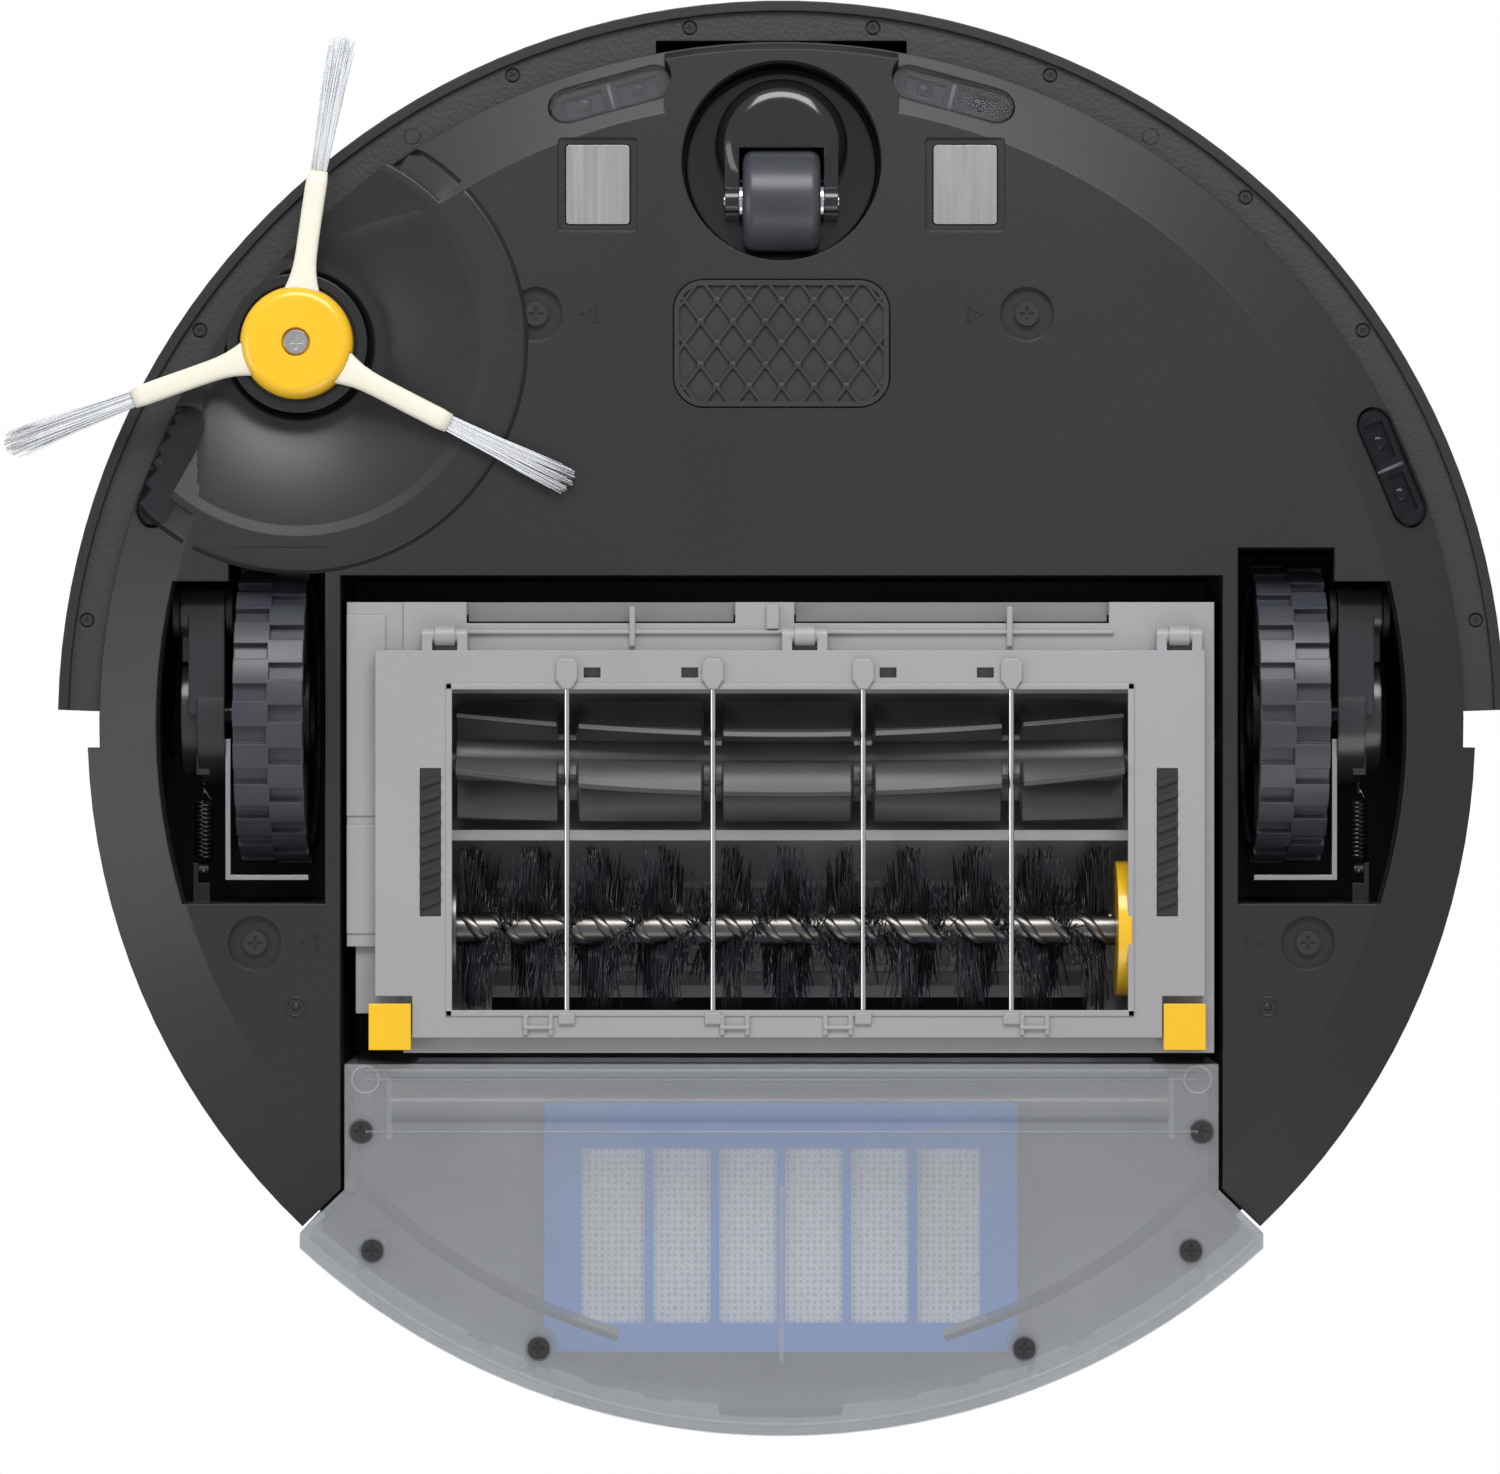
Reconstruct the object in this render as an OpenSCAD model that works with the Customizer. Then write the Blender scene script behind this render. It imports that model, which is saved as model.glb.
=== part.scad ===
// Round robot vacuum, standing on its two drive wheels and its caster.
// +Z is up, -Y is the front, and the origin is on the floor, midway between the drive wheels.

/* [Body] */
// Radius of the rear body wall
body_r = 166; // [164:0.5:172]
// Radius of the flat middle of the underside, up to its bevelled edge
crease_r = 148; // [146.5:0.5:150]
// Height of the flat underside above the floor
belly_z = 8; // [6:0.5:10]
// Height of the top face above the floor
top_z = 92; // [90:1:104]
// Thickness of the moulded covers
skin = 2.6; // [1.8:0.1:3.2]
// Radius of the chassis wall behind the bumper
front_wall_r = 153; // [151.5:0.5:154]

/* [Bumper] */
// Outer radius of the bumper
bumper_r = 173; // [171:0.5:178]
// Thickness of the bumper wall
bumper_wall = 2.4; // [2:0.1:3]
// Distance the bumper gives when it hits something
bumper_travel = 4; // [3:0.5:5]
// Radius of the small screw heads in the bumper's rim
rim_screw_r = 1.3; // [1:0.1:1.6]

/* [Drive wheels] */
// Radius of a drive wheel over its tread
wheel_r = 36; // [34:0.5:37]
// Width of a drive wheel
wheel_w = 16.5; // [14:0.5:17.5]
// Distance of a wheel's inner face from the middle
wheel_x = 113.5; // [112.5:0.5:114.5]
// Number of tread blocks in each of the two rows
tread_count = 22; // [16:2:28]
// Depth of the tread
tread_depth = 1.8; // [1:0.2:2.4]

/* [Caster] */
// Radius of the caster wheel
caster_r = 12; // [10:0.5:12.5]
// Width of the caster wheel
caster_w = 18.4; // [15:0.2:18.6]
// Radius of the caster well
caster_well_r = 23.8; // [23.6:0.2:25]
// Distance from the swivel axis back to the caster's axle
caster_trail = 9.4; // [7.8:0.2:9.6]

/* [Cleaning head] */
// Radius of the bristle brush
bristle_r = 20; // [18:0.5:20.5]
// Radius of the rubber flapper
flapper_r = 14.5; // [13:0.5:15]
// Diameter of the guard's wires
wire_d = 1.4; // [1:0.1:2]

/* [Side brush] */
// Radius of the side brush hub
hub_r = 13.4; // [12:0.2:14]
// Length from the hub's axis to the bristle tips
sweep_r = 74; // [66:1:76]

/* [Bin] */
// Radius of the bin's rear wall
bin_r = 169.5; // [167:0.5:172]
// Thickness of the bin's walls
bin_wall = 2.4; // [1.8:0.1:3]
// Half width of the bin between the bay's walls
bin_half_w = 104; // [102:0.25:104.5]

/* [Controls] */
// Radius of the large start button
start_r = 21; // [17:0.5:24]
// Distance a top button travels
button_travel = 1; // [0.6:0.1:1.4]

/* [Hidden] */
$fn = 96;

// Clearances: between fixed neighbours, between moving ones, and round shafts
gap = 0.3;
run_gap = 0.6;
shaft_gap = 0.05;
eps = 0.01;

// Underside: the bevel climbs from the flat middle to the edge
edge_rise = 7.2;
edge_r_front = 163;
cover_edge_z = belly_z + edge_rise;
tub_floor_z = belly_z + skin + gap;
tub_floor_t = 2.4;
tub_top_z = top_z - 10.5;
deck_z = top_z - 20;
deck_t = 2;
notch_front_y = -3.4;
notch_rear_y = 5.6;

// Bumper levels
rim_z = cover_edge_z + skin;
rim_t = 2;
rim_in_r = 160;
lip_t = 2.2;
lip_z = tub_top_z - gap - lip_t;
lip_in_r = front_wall_r + bumper_travel + 1.5;
bumper_in_r = bumper_r - bumper_wall;
bumper_low_z = rim_z - 1.6;
bumper_top_z = tub_top_z + 2.6;
rim_screw_at = bumper_in_r - 2.6;
rim_screw_angles = [7.5, 22.5, 41.4, 55.9, 81.5];

// Bay for the cleaning head and the bin
bay_half_w = bin_half_w + 1;
bay_front_y = -35.4;
bay_wall = 2.4;
bin_front_y = 81;
flare_y = 110.8;
flare_end_x = 115;
flare_end_y = 120.6;

// Drive modules
wheel_y = -2.4;
wheel_out_x = wheel_x + wheel_w;
pivot_y = -27;
pivot_z = 25;
pivot_pin_r = 3;
well_x = wheel_x - 5;
well_front_y = -42;
well_rear_y = 42.8;
well_step_y = -34;
well_arc_r = 148.8;
rim_r = wheel_r - 5;
axle_r = 3;
gearbox_x = wheel_out_x + 3.4;
gearbox_out_x = gearbox_x + 10.6;
ear_t = 1.6;
wall_t = 1.6;
spring_x = 139;
spring_y0 = 15.4;
spring_y1 = 35;
spring_z = 27;
spring_r = 2.4;

// Caster
caster_y = -134;
caster_wall = 1.2;
axle_y = caster_y + caster_trail;
caster_axle_r = 1.6;
caster_top_z = 2 * caster_r + 3.2;
stem_r = 5;

// Cliff sensors: angle from the front, and distance out
cliff_at = [[-15.2, 155.8], [15.2, 155.8], [-67.2, 158.6], [67.2, 158.6]];
cliff_l = 30;
cliff_w = 9;
cliff_z = belly_z + 3.5;
cliff_tilt = 22;
cliff_t = 2;

// Cleaning head
head_x0 = -90;
head_x1 = 103;
head_front_y = -29;
head_rear_y = 78.3;
head_z = belly_z + 1.8;
head_top_z = 49.5;
head_wall = 3;
float_y = 5;
float_z = 38;
float_pin_r = 4;
brush_x0 = -77.5;
brush_x1 = 80;
bristle_y = 49;
bristle_z = bristle_r + 1.3;
flapper_y = 9;
flapper_z = flapper_r + 3.3;
brush_gap = 2;
brush_shaft_r = 3;
gear_case_x = -103.5;
gear_case_rear_y = 69;
motor_y = -15.5;
motor_z = 38;
motor_r = 8.4;

// Brush guard
guard_z = belly_z - 2.2;
guard_t = 3.6;
guard_hinge_y = -21;
guard_hinge_z = guard_z + guard_t / 2;
guard_pin_r = 1.8;
guard_x0 = -96.5;
guard_x1 = 100.5;
guard_open_x0 = -79.5;
guard_open_x1 = 83.5;
guard_open_y0 = -8.4;
guard_open_y1 = 68.2;
guard_rear_y = 74.5;
wire_at = [-51, -16.3, 19.4, 54.6];
wire_z = guard_z + 1.2;
pad_size = [5, 35.2];
pad_at = [[-83.4, 28.1], [91.6, 28.1]];
latch_w = 10;
latch_at = [-93, 95.7];

// Side brush
sweeper_x = -115.2;
sweeper_y = -90.6;
sweeper_hub_z = 3.2;
sweeper_hub_h = 7.5;
sweeper_ring_r = 16.6;
sweeper_arm_angles = [-84, 28.8, 161.6];
dish_r = 46;
dish_depth = 6.2;
arm_tip_r = 41;
arm_z = 4.6;

// Battery and board
battery_z = tub_floor_z + tub_floor_t;
battery_size = [110, 58, 37];
battery_y = -75;

// Bin and filter
bin_z = belly_z + 0.6;
bin_cover_t = 2.2;
bin_top_z = deck_z - gap;
rail_z = 32;
rail_t = 2;
bin_boss_at = [[100, 97], [97.4, 125.3], [57.8, 148.6]];
rod_y = 91.2;
rod_r = 4.2;
filter_half_w = 57.5;
filter_y0 = 92;
filter_y1 = 152.5;
filter_z = 40;
filter_h = 9;
filter_bars = 5;
bin_deck_z = filter_z + filter_h + gap;

filter_pitch = 16;
fan_y = 118;
mouth_z0 = 22;
mouth_z1 = 38;

// More of the cleaning head and its guard
head_side_z = 44;
knuckle_at = [-80, 5.5, 94.5];
guard_front_y = -17.5;
latch_y0 = 66.4;
latch_y1 = 77.4;
latch_travel = 1.5;
core_r = 3.6;
flap_core_r = 6;

// More of the caster, the side brush, the drive and the bumper
caster_front = caster_well_r + caster_wall - caster_y;
hood_y = caster_y - 4.2;
hood_r = 15.8;
hood_z = 8.5;
cheek_x = caster_w / 2 + 0.9;
axle_half = cheek_x + 3.6;
arm_t = 2.8;
sweeper_post_r = 4;
sweeper_low_z = arm_z + arm_t + 0.8;
sweeper_top_z = belly_z + dish_depth + skin + gap;
bracket_y = wheel_y + wheel_r + 2.6;
bumper_end = acos(-notch_front_y / bumper_r);
window_z0 = 50;
window_z1 = 66;
dome_r = 7.4;
dome_y = -bumper_in_r + dome_r + 0.4;

// Controls
cap_r = body_r - 0.5;
panel_r = 62;
panel_t = 2.4;
groove_z = top_z - 7;
handle_z = groove_z + 1;
handle_pin_r = 1.6;
button_z = tub_top_z + 2;
start_y = 0;
small_button_r = 8.2;
small_button_x = 44;
handle_y = 8;
handle_in_r = 78;
handle_t = 5;
handle_w = 13;

// ---- Shared shapes ----

// A ring or an arc of a ring, from angle a0 to a1 measured from the front towards +X
module front_arc(r0, r1, z0, z1, a0, a1) {
    rotate([0, 0, a0 - 90])
        rotate_extrude(angle = a1 - a0)
            translate([r0, z0]) square([r1 - r0, z1 - z0]);
}

// A block standing between two corners
module block(from, to) {
    translate(from) cube(to - from);
}

// A cylinder lying along X, from x0 to x1
module rod(x0, x1, y, z, r) {
    translate([x0, y, z]) rotate([0, 90, 0]) cylinder(r = r, h = x1 - x0);
}

// Places its children at an angle from the front and a distance out, turned to face outwards
module outwards(angle, r) {
    rotate([0, 0, angle]) translate([0, -r, 0]) children();
}

// A slot with round ends, lying along X and extruded upwards
module slot_shape(l, w, h) {
    linear_extrude(height = h) {
        square([l - w, w], center = true);
        for (s = [-1, 1]) translate([s * (l - w) / 2, 0]) circle(d = w);
    }
}

// A rectangle with round corners, extruded upwards
module round_block(size, r, h) {
    linear_extrude(height = h) {
        square([size[0] - 2 * r, size[1]], center = true);
        square([size[0], size[1] - 2 * r], center = true);
        for (sx = [-1, 1]) for (sy = [-1, 1])
            translate([sx * (size[0] / 2 - r), sy * (size[1] / 2 - r)]) circle(r = r);
    }
}

// A screw with its head down: a pan head with a cross recess, and a plain shank above it
module screw(head_r, head_h, shank_r, shank_l) {
    difference() {
        cylinder(r = head_r, h = head_h);
        for (a = [0, 90]) rotate([0, 0, a])
            translate([-head_r * 0.6, -head_r * 0.14, -eps])
                cube([head_r * 1.2, head_r * 0.28, head_h * 0.5]);
    }
    translate([0, 0, head_h - eps]) cylinder(r = shank_r, h = shank_l);
}

// Everything inside a circle round the middle
module inside_circle(r) {
    translate([0, 0, -5]) cylinder(r = r, h = top_z + 10, $fn = 180);
}

// Plan of the bay that the head and the bin sit in, grown by g
module bay_plan(g = 0) {
    polygon([
        [-bay_half_w - g, bay_front_y - g], [bay_half_w + g, bay_front_y - g],
        [bay_half_w + g, flare_y - 0.4 * g], [flare_end_x + g, flare_end_y - 0.4 * g],
        [flare_end_x + g, bin_r + 10], [-flare_end_x - g, bin_r + 10],
        [-flare_end_x - g, flare_end_y - 0.4 * g], [-bay_half_w - g, flare_y - 0.4 * g]]);
}

module bay_space(z0, z1, g = 0) {
    translate([0, 0, z0]) linear_extrude(height = z1 - z0) bay_plan(g);
}

// The well that a drive module hangs in, on the +X side
module wheel_well(z0, z1) {
    block([well_x, well_front_y, z0], [wheel_out_x + 1.6, well_rear_y, z1]);
    intersection() {
        block([well_x, well_step_y, z0], [well_arc_r + 2, well_rear_y, z1]);
        inside_circle(well_arc_r);
    }
}

module wheel_wells(z0, z1) {
    for (s = [0, 1]) mirror([s, 0, 0]) wheel_well(z0, z1);
}

// ---- Chassis ----

cover_screw_at = [[-58.4, -97.5], [58.4, -97.5], [-125.2, 52.1], [125.2, 52.1]];
contact_at = [[-43.7, -128.3], [43.7, -128.3]];
contact_size = [15, 18.8];
pad_y = -90.5;
pad_plan = [51, 30];

module cover_profile(out_r) {
    edge_z = belly_z + edge_rise * (out_r - crease_r) / (edge_r_front - crease_r);
    polygon([[0, belly_z], [crease_r, belly_z], [out_r, edge_z], [out_r, min(edge_z + 1.4, rim_z)],
        [crease_r - 1, belly_z + skin], [0, belly_z + skin]]);
}

// The bumper's rim slides over the front half, so the rear half alone reaches the body wall
module cover_plate() {
    rotate_extrude($fn = 180) cover_profile(edge_r_front);
    // Flat apron that carries the caster's well out to the edge
    intersection() {
        translate([0, 0, belly_z])
            cylinder(r1 = edge_r_front - 2.4, r2 = edge_r_front - 0.4, h = edge_rise, $fn = 180);
        block([-caster_well_r - 4, -edge_r_front, belly_z], [caster_well_r + 4, caster_y, cover_edge_z]);
    }
    intersection() {
        rotate_extrude($fn = 180) cover_profile(body_r);
        block([-body_r - 1, notch_rear_y, 0], [body_r + 1, body_r + 1, 40]);
    }
}

// Places its children at each cliff sensor, tilted to follow the bevel
module at_cliffs() {
    for (c = cliff_at) outwards(c[0], c[1])
        translate([0, 0, cliff_z]) rotate([-cliff_tilt, 0, 0]) children();
}

module bottom_cover() {
    color([0.16, 0.16, 0.165]) difference() {
        union() {
            cover_plate();
            // Shell of the dish round the side brush
            intersection() {
                translate([sweeper_x, sweeper_y, belly_z + eps])
                    cylinder(r1 = dish_r + 2, r2 = sweeper_ring_r + 6, h = dish_depth + skin);
                inside_circle(edge_r_front);
            }
        }
        bay_space(0, 40);
        wheel_wells(0, 40);
        translate([0, caster_y, 0]) cylinder(r = caster_well_r, h = 40);
        translate([0, caster_y, tub_floor_z - gap]) cylinder(r = caster_well_r + caster_wall + gap, h = 40);
        at_cliffs() translate([0, 0, -10]) slot_shape(cliff_l + 2 * gap, cliff_w + 2 * gap, 30);
        for (p = contact_at) translate([p[0], p[1], 0]) {
            round_block(contact_size + [0.5, 0.5], 1, 40);
            round_block(contact_size + [4, 3.4], 1, belly_z + 0.7);
        }
        for (p = cover_screw_at) translate([p[0], p[1], 0]) {
            cylinder(r = 6.4, h = belly_z + 1.4);
            cylinder(r = 2, h = 40);
        }
        translate([0, pad_y, belly_z - 1]) round_block(pad_plan + [0.6, 0.6], 7.3, 2.2);
        // Dish that clears the turning side brush
        translate([sweeper_x, sweeper_y, belly_z - eps])
            cylinder(r1 = dish_r, r2 = sweeper_ring_r + 4, h = dish_depth + eps);
        translate([sweeper_x, sweeper_y, 0]) cylinder(r = sweeper_ring_r + gap, h = 40);
    }
}

module tub_outline(z0, z1, inset) {
    translate([0, 0, z0]) linear_extrude(height = z1 - z0) {
        circle(r = front_wall_r - inset, $fn = 180);
        intersection() {
            circle(r = body_r - inset, $fn = 180);
            translate([-body_r, notch_rear_y + inset]) square([2 * body_r, body_r]);
        }
    }
}

module pivot_ear(x) {
    difference() {
        union() {
            rod(x, x + ear_t, pivot_y, pivot_z, 6);
            block([x, pivot_y - 6, pivot_z], [x + ear_t, pivot_y + 6, deck_z]);
        }
        rod(x - 1, x + ear_t + 1, pivot_y, pivot_z, pivot_pin_r + shaft_gap);
    }
}

module chassis_tub() {
    color([0.10, 0.10, 0.105]) {
        difference() {
            union() {
                difference() {
                    tub_outline(rim_z, tub_top_z, 0);
                    tub_outline(rim_z - 1, tub_top_z + 1, skin);
                }
                // Floor, kept inside the bevel
                translate([0, 0, tub_floor_z])
                    cylinder(r = crease_r - 1.5, h = tub_floor_t, $fn = 180);
                // Skirt from the floor to the wall
                rotate_extrude($fn = 180) polygon([[crease_r - 4, tub_floor_z], [crease_r - 1.5, tub_floor_z],
                    [front_wall_r, rim_z], [front_wall_r, rim_z + 3], [front_wall_r - 3, rim_z + 3]]);
                bay_walls();
                // Deck that carries the electronics and roofs the bay
                intersection() {
                    tub_outline(deck_z, deck_z + deck_t, skin / 2);
                    block([-body_r, -70, 0], [body_r, body_r + 5, top_z]);
                }
                // Pocket that the caster's stem turns in
                translate([0, caster_y, tub_floor_z + 2])
                    cylinder(r = caster_well_r + caster_wall, h = caster_top_z + 9 - tub_floor_z);
                // Walls round the wheel wells
                for (s = [0, 1]) mirror([s, 0, 0]) well_walls();
            }
            bay_space(0, deck_z, 0);
            wheel_wells(0, deck_z - 1);
            translate([0, caster_y, 0]) cylinder(r = caster_well_r, h = caster_top_z + run_gap);
            translate([0, caster_y, 0]) cylinder(r = stem_r + shaft_gap, h = caster_top_z + 9);
            translate([sweeper_x, sweeper_y, 0])
                cylinder(r1 = dish_r + 22, r2 = sweeper_ring_r + 8, h = belly_z + dish_depth + skin + 1);
            translate([sweeper_x, sweeper_y, 0]) cylinder(r = sweeper_ring_r + 8, h = rim_z + 5);
            at_cliffs() translate([0, 0, -5]) slot_shape(cliff_l + 5, cliff_w + 5, 12);
            for (p = cover_screw_at) translate([p[0], p[1], 0]) cylinder(r = 1.75, h = 20);
            for (s = [-1, 1])
                rod(s * bay_half_w - 4, s * bay_half_w + 4, float_y, float_z, float_pin_r + shaft_gap);
            cover_reliefs();
        }
        for (s = [0, 1]) mirror([s, 0, 0]) {
            pivot_ear(gearbox_out_x + gap);
            pivot_ear(gearbox_x - gap - ear_t);
        }
        battery_posts();
        bin_rails();
        for (s = [0, 1]) mirror([s, 0, 0]) spring_post();
    }
}

// Reliefs in the tub where the cover's apron and corners stand up
module cover_reliefs() {
    for (s = [0, 1]) mirror([s, 0, 0]) {
        block([19.9, -151, 0], [28.1, -133.6, belly_z + 7.5]);
        block([140.5, -44.8, 0], [144.2, -41.6, belly_z + 4]);
        block([140.5, 41.6, 0], [144.2, 44.8, belly_z + 4]);
        block([bay_half_w + 0.5, 101, 0], [bay_half_w + 3.8, 107.2, belly_z + 4.7]);
    }
}

module well_walls() {
    intersection() {
        union() {
            block([well_x - wall_t, well_front_y - wall_t, tub_floor_z],
                [well_x, well_rear_y + wall_t, deck_z]);
            block([well_x, well_front_y - wall_t, tub_floor_z], [front_wall_r, well_front_y, deck_z]);
            block([well_x, well_rear_y, tub_floor_z], [front_wall_r, well_rear_y + wall_t, deck_z]);
        }
        inside_circle(well_arc_r + 1);
    }
}

module spring_post() {
    block([spring_x - 1.6, spring_y1 + 3.2, spring_z - 2], [spring_x + 2.4, well_rear_y + eps, spring_z + 2]);
    // Arm and pin that the hook sits on
    block([spring_x + 1.2, spring_y1 - 1.6, spring_z - 2], [spring_x + 2.4, spring_y1 + 3.3, spring_z + 2]);
    rod(spring_x - 1.2, spring_x + 1.3, spring_y1, spring_z, 1.32);
}

// Ledges that the bin slides on
module bin_rails() {
    for (s = [0, 1]) mirror([s, 0, 0])
        block([bay_half_w - 2.2, bin_front_y + 1, rail_z], [bay_half_w + eps, flare_y - 5, rail_z + rail_t]);
}

// Walls on both sides of the bay, and across its front
module bay_walls() {
    difference() {
        bay_space(tub_floor_z, deck_z + deck_t, bay_wall);
        bay_space(0, deck_z + deck_t + 1, 0);
        block([-body_r - 20, flare_y - 4, -1], [body_r + 20, body_r + 60, top_z]);
    }
}

module battery_posts() {
    for (s = [-1, 1])
        block([s * 50 - 1.5, -60, battery_z + battery_size[2] + gap], [s * 50 + 1.5, -50, deck_z + eps]);
}

module top_cover() {
    color([0.13, 0.13, 0.135]) difference() {
        union() {
            difference() {
                rotate_extrude($fn = 180) cap_profile(cap_r, tub_top_z, top_z, 4);
                translate([0, 0, tub_top_z - 1])
                    cylinder(r = cap_r - skin, h = top_z - skin - tub_top_z + 1, $fn = 180);
            }
            // Trough under the handle's groove, and the ring that stands on the chassis
            translate([0, 0, groove_z - 1.6]) difference() {
                cylinder(r = handle_in_r + handle_w + 3, h = top_z - groove_z);
                translate([0, 0, -1]) cylinder(r = handle_in_r - 3, h = top_z);
            }
            translate([0, 0, tub_top_z]) difference() {
                cylinder(r = front_wall_r, h = top_z - tub_top_z - 1, $fn = 180);
                translate([0, 0, -1]) cylinder(r = front_wall_r - skin, h = top_z, $fn = 180);
            }
        }
        // Groove for the folded handle, and the holes its pins turn in
        handle_groove();
        for (s = [0, 1]) mirror([s, 0, 0])
            rod(handle_in_r - 4, handle_in_r, handle_y, handle_z + handle_t / 2, handle_pin_r + shaft_gap);
        translate([0, 0, top_z - panel_t]) cylinder(r = panel_r, h = 10);
        translate([0, start_y, 0]) cylinder(r = start_r + 1.5, h = top_z + 5);
        for (s = [-1, 1]) translate([s * small_button_x, start_y, 0])
            cylinder(r = small_button_r + 1.5, h = top_z + 5);
        // Slot that the bumper's sensor moves in
        for (y = [0, bumper_travel]) translate([0, dome_y + y, tub_top_z - 1])
            cylinder(r = dome_r + run_gap, h = 20);
        block([-dome_r - run_gap, -cap_r - 5, tub_top_z - 1],
            [dome_r + run_gap, dome_y + bumper_travel, top_z + 5]);
    }
}

module cap_profile(r, z0, z1, round) {
    square_h = z1 - z0 - round;
    translate([0, z0]) square([r, square_h]);
    translate([0, z0 + square_h - eps]) square([r - round, round + eps]);
    translate([r - round, z1 - round]) intersection() {
        circle(r = round);
        square([round, round]);
    }
}

module handle_groove() {
    translate([0, handle_y, groove_z]) difference() {
        cylinder(r = handle_in_r + handle_w + 1, h = 20);
        translate([0, 0, -1]) cylinder(r = handle_in_r - 1, h = 30);
        block([-150, -150, -1], [150, -handle_w / 2 - 1, 30]);
    }
    // Finger well under the middle of the handle
    translate([0, handle_y + handle_in_r, groove_z]) intersection() {
        cylinder(r = 22, h = 20);
        block([-30, -30, -1], [30, 0, 30]);
    }
}

module top_panel() {
    color([0.05, 0.05, 0.06]) difference() {
        translate([0, 0, top_z - panel_t]) cylinder(r = panel_r - gap, h = panel_t);
        translate([0, start_y, 0]) cylinder(r = start_r, h = top_z + 5);
        for (s = [-1, 1]) translate([s * small_button_x, start_y, 0])
            cylinder(r = small_button_r, h = top_z + 5);
    }
}

module texture_pad() {
    color([0.09, 0.09, 0.095]) translate([0, pad_y, 0]) {
        translate([0, 0, belly_z + 0.3]) round_block(pad_plan, 7, 0.9);
        translate([0, 0, belly_z - 0.5]) linear_extrude(height = 0.8 + eps) intersection() {
            union() {
                difference() {
                    pad_outline(0);
                    pad_outline(1.2);
                }
                for (a = [-1, 1]) for (i = [-7 : 7])
                    translate([i * 7.7, 0]) rotate(a * 37) square([0.7, 60], center = true);
            }
            pad_outline(0);
        }
    }
}

module pad_outline(inset) {
    offset_r = 7 - inset;
    w = pad_plan[0] / 2 - inset;
    d = pad_plan[1] / 2 - inset;
    square([2 * (w - offset_r), 2 * d], center = true);
    square([2 * w, 2 * (d - offset_r)], center = true);
    for (sx = [-1, 1]) for (sy = [-1, 1])
        translate([sx * (w - offset_r), sy * (d - offset_r)]) circle(r = offset_r);
}

module cover_screws() {
    color([0.06, 0.06, 0.06]) for (p = cover_screw_at)
        translate([p[0], p[1], belly_z + 0.1]) screw(2.8, 1.3, 1.7, 5);
}

module charge_contacts() {
    color([0.72, 0.72, 0.72]) for (p = contact_at) translate([p[0], p[1], belly_z + 0.3])
        round_block(contact_size, 0.8, tub_floor_z - belly_z - 0.3);
}

module cliff_windows() {
    color([0.5, 0.5, 0.52, 0.6]) at_cliffs() slot_shape(cliff_l, cliff_w, cliff_t);
}

module cliff_sensors() {
    color([0.05, 0.05, 0.05]) at_cliffs() translate([0, 0, cliff_t]) difference() {
        slot_shape(cliff_l - 1, cliff_w - 1, 1.9);
        for (s = [-1, 1]) block([s * 6.7 - 4.7, -2.6, -1], [s * 6.7 + 4.7, 2.6, 1.2]);
    }
}

module battery() {
    color([0.75, 0.6, 0.1]) translate([0, battery_y, battery_z])
        round_block([battery_size[0], battery_size[1]], 5, battery_size[2]);
}

module main_board() {
    color([0.05, 0.25, 0.12]) {
        block([-62, -60, deck_z + deck_t], [62, 40, deck_z + deck_t + 1.6]);
        for (p = [[-30, -30, 22, 22], [20, -38, 14, 14], [-8, 12, 30, 10], [40, 4, 10, 18]])
            block([p[0], p[1], deck_z + deck_t + 1.6 - eps],
                [p[0] + p[2], p[1] + p[3], deck_z + deck_t + 4.4]);
    }
}

module side_brush_gearbox() {
    color([0.07, 0.07, 0.07]) difference() {
        union() {
            translate([sweeper_x, sweeper_y, sweeper_low_z])
                cylinder(r = sweeper_ring_r, h = sweeper_top_z - sweeper_low_z);
            translate([sweeper_x, sweeper_y, sweeper_top_z - eps])
                rotate([0, 0, atan2(-sweeper_y, -sweeper_x)]) {
                block([-1, -9, 0], [22, 9, 8]);
                translate([22, 0, 0]) cylinder(r = 15, h = 8);
                translate([22, 0, 8]) cylinder(r = 12, h = 22);
            }
        }
        translate([sweeper_x, sweeper_y, 0]) {
            cylinder(r = hub_r + 0.8, h = sweeper_hub_z + sweeper_hub_h + 0.6);
            cylinder(r = sweeper_post_r + shaft_gap, h = sweeper_top_z + 3);
        }
    }
}

module drive_spring() {
    rod_y(spring_x, spring_z, spring_y0 + 2.4, spring_y1 - 2.4, spring_r);
    for (y = [spring_y0, spring_y1]) difference() {
        rod(spring_x - 0.8, spring_x + 0.8, y, spring_z, 3);
        rod(spring_x - 1, spring_x + 1, y, spring_z, 1.4);
    }
}

module rod_y(x, z, y0, y1, r) {
    translate([x, y0, z]) rotate([-90, 0, 0]) cylinder(r = r, h = y1 - y0);
}

module left_spring() {
    color([0.3, 0.3, 0.3]) mirror([1, 0, 0]) drive_spring();
}

module right_spring() {
    color([0.3, 0.3, 0.3]) drive_spring();
}

// ---- Bumper ----

module bumper_shell() {
    color([0.12, 0.12, 0.125]) {
        difference() {
            front_arc(bumper_in_r, bumper_r, bumper_low_z, bumper_top_z, -bumper_end, bumper_end);
            front_arc(bumper_r - 1, bumper_r + 2, window_z0, window_z1, -62, 62);
        }
        front_arc(lip_in_r, bumper_in_r + 0.5, lip_z, lip_z + lip_t, -bumper_end, bumper_end);
    }
}

module rim_screw_spots() {
    for (a = rim_screw_angles) for (s = [-1, 1])
        outwards(s * a, rim_screw_at) translate([0, 0, rim_z]) children();
}

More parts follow.
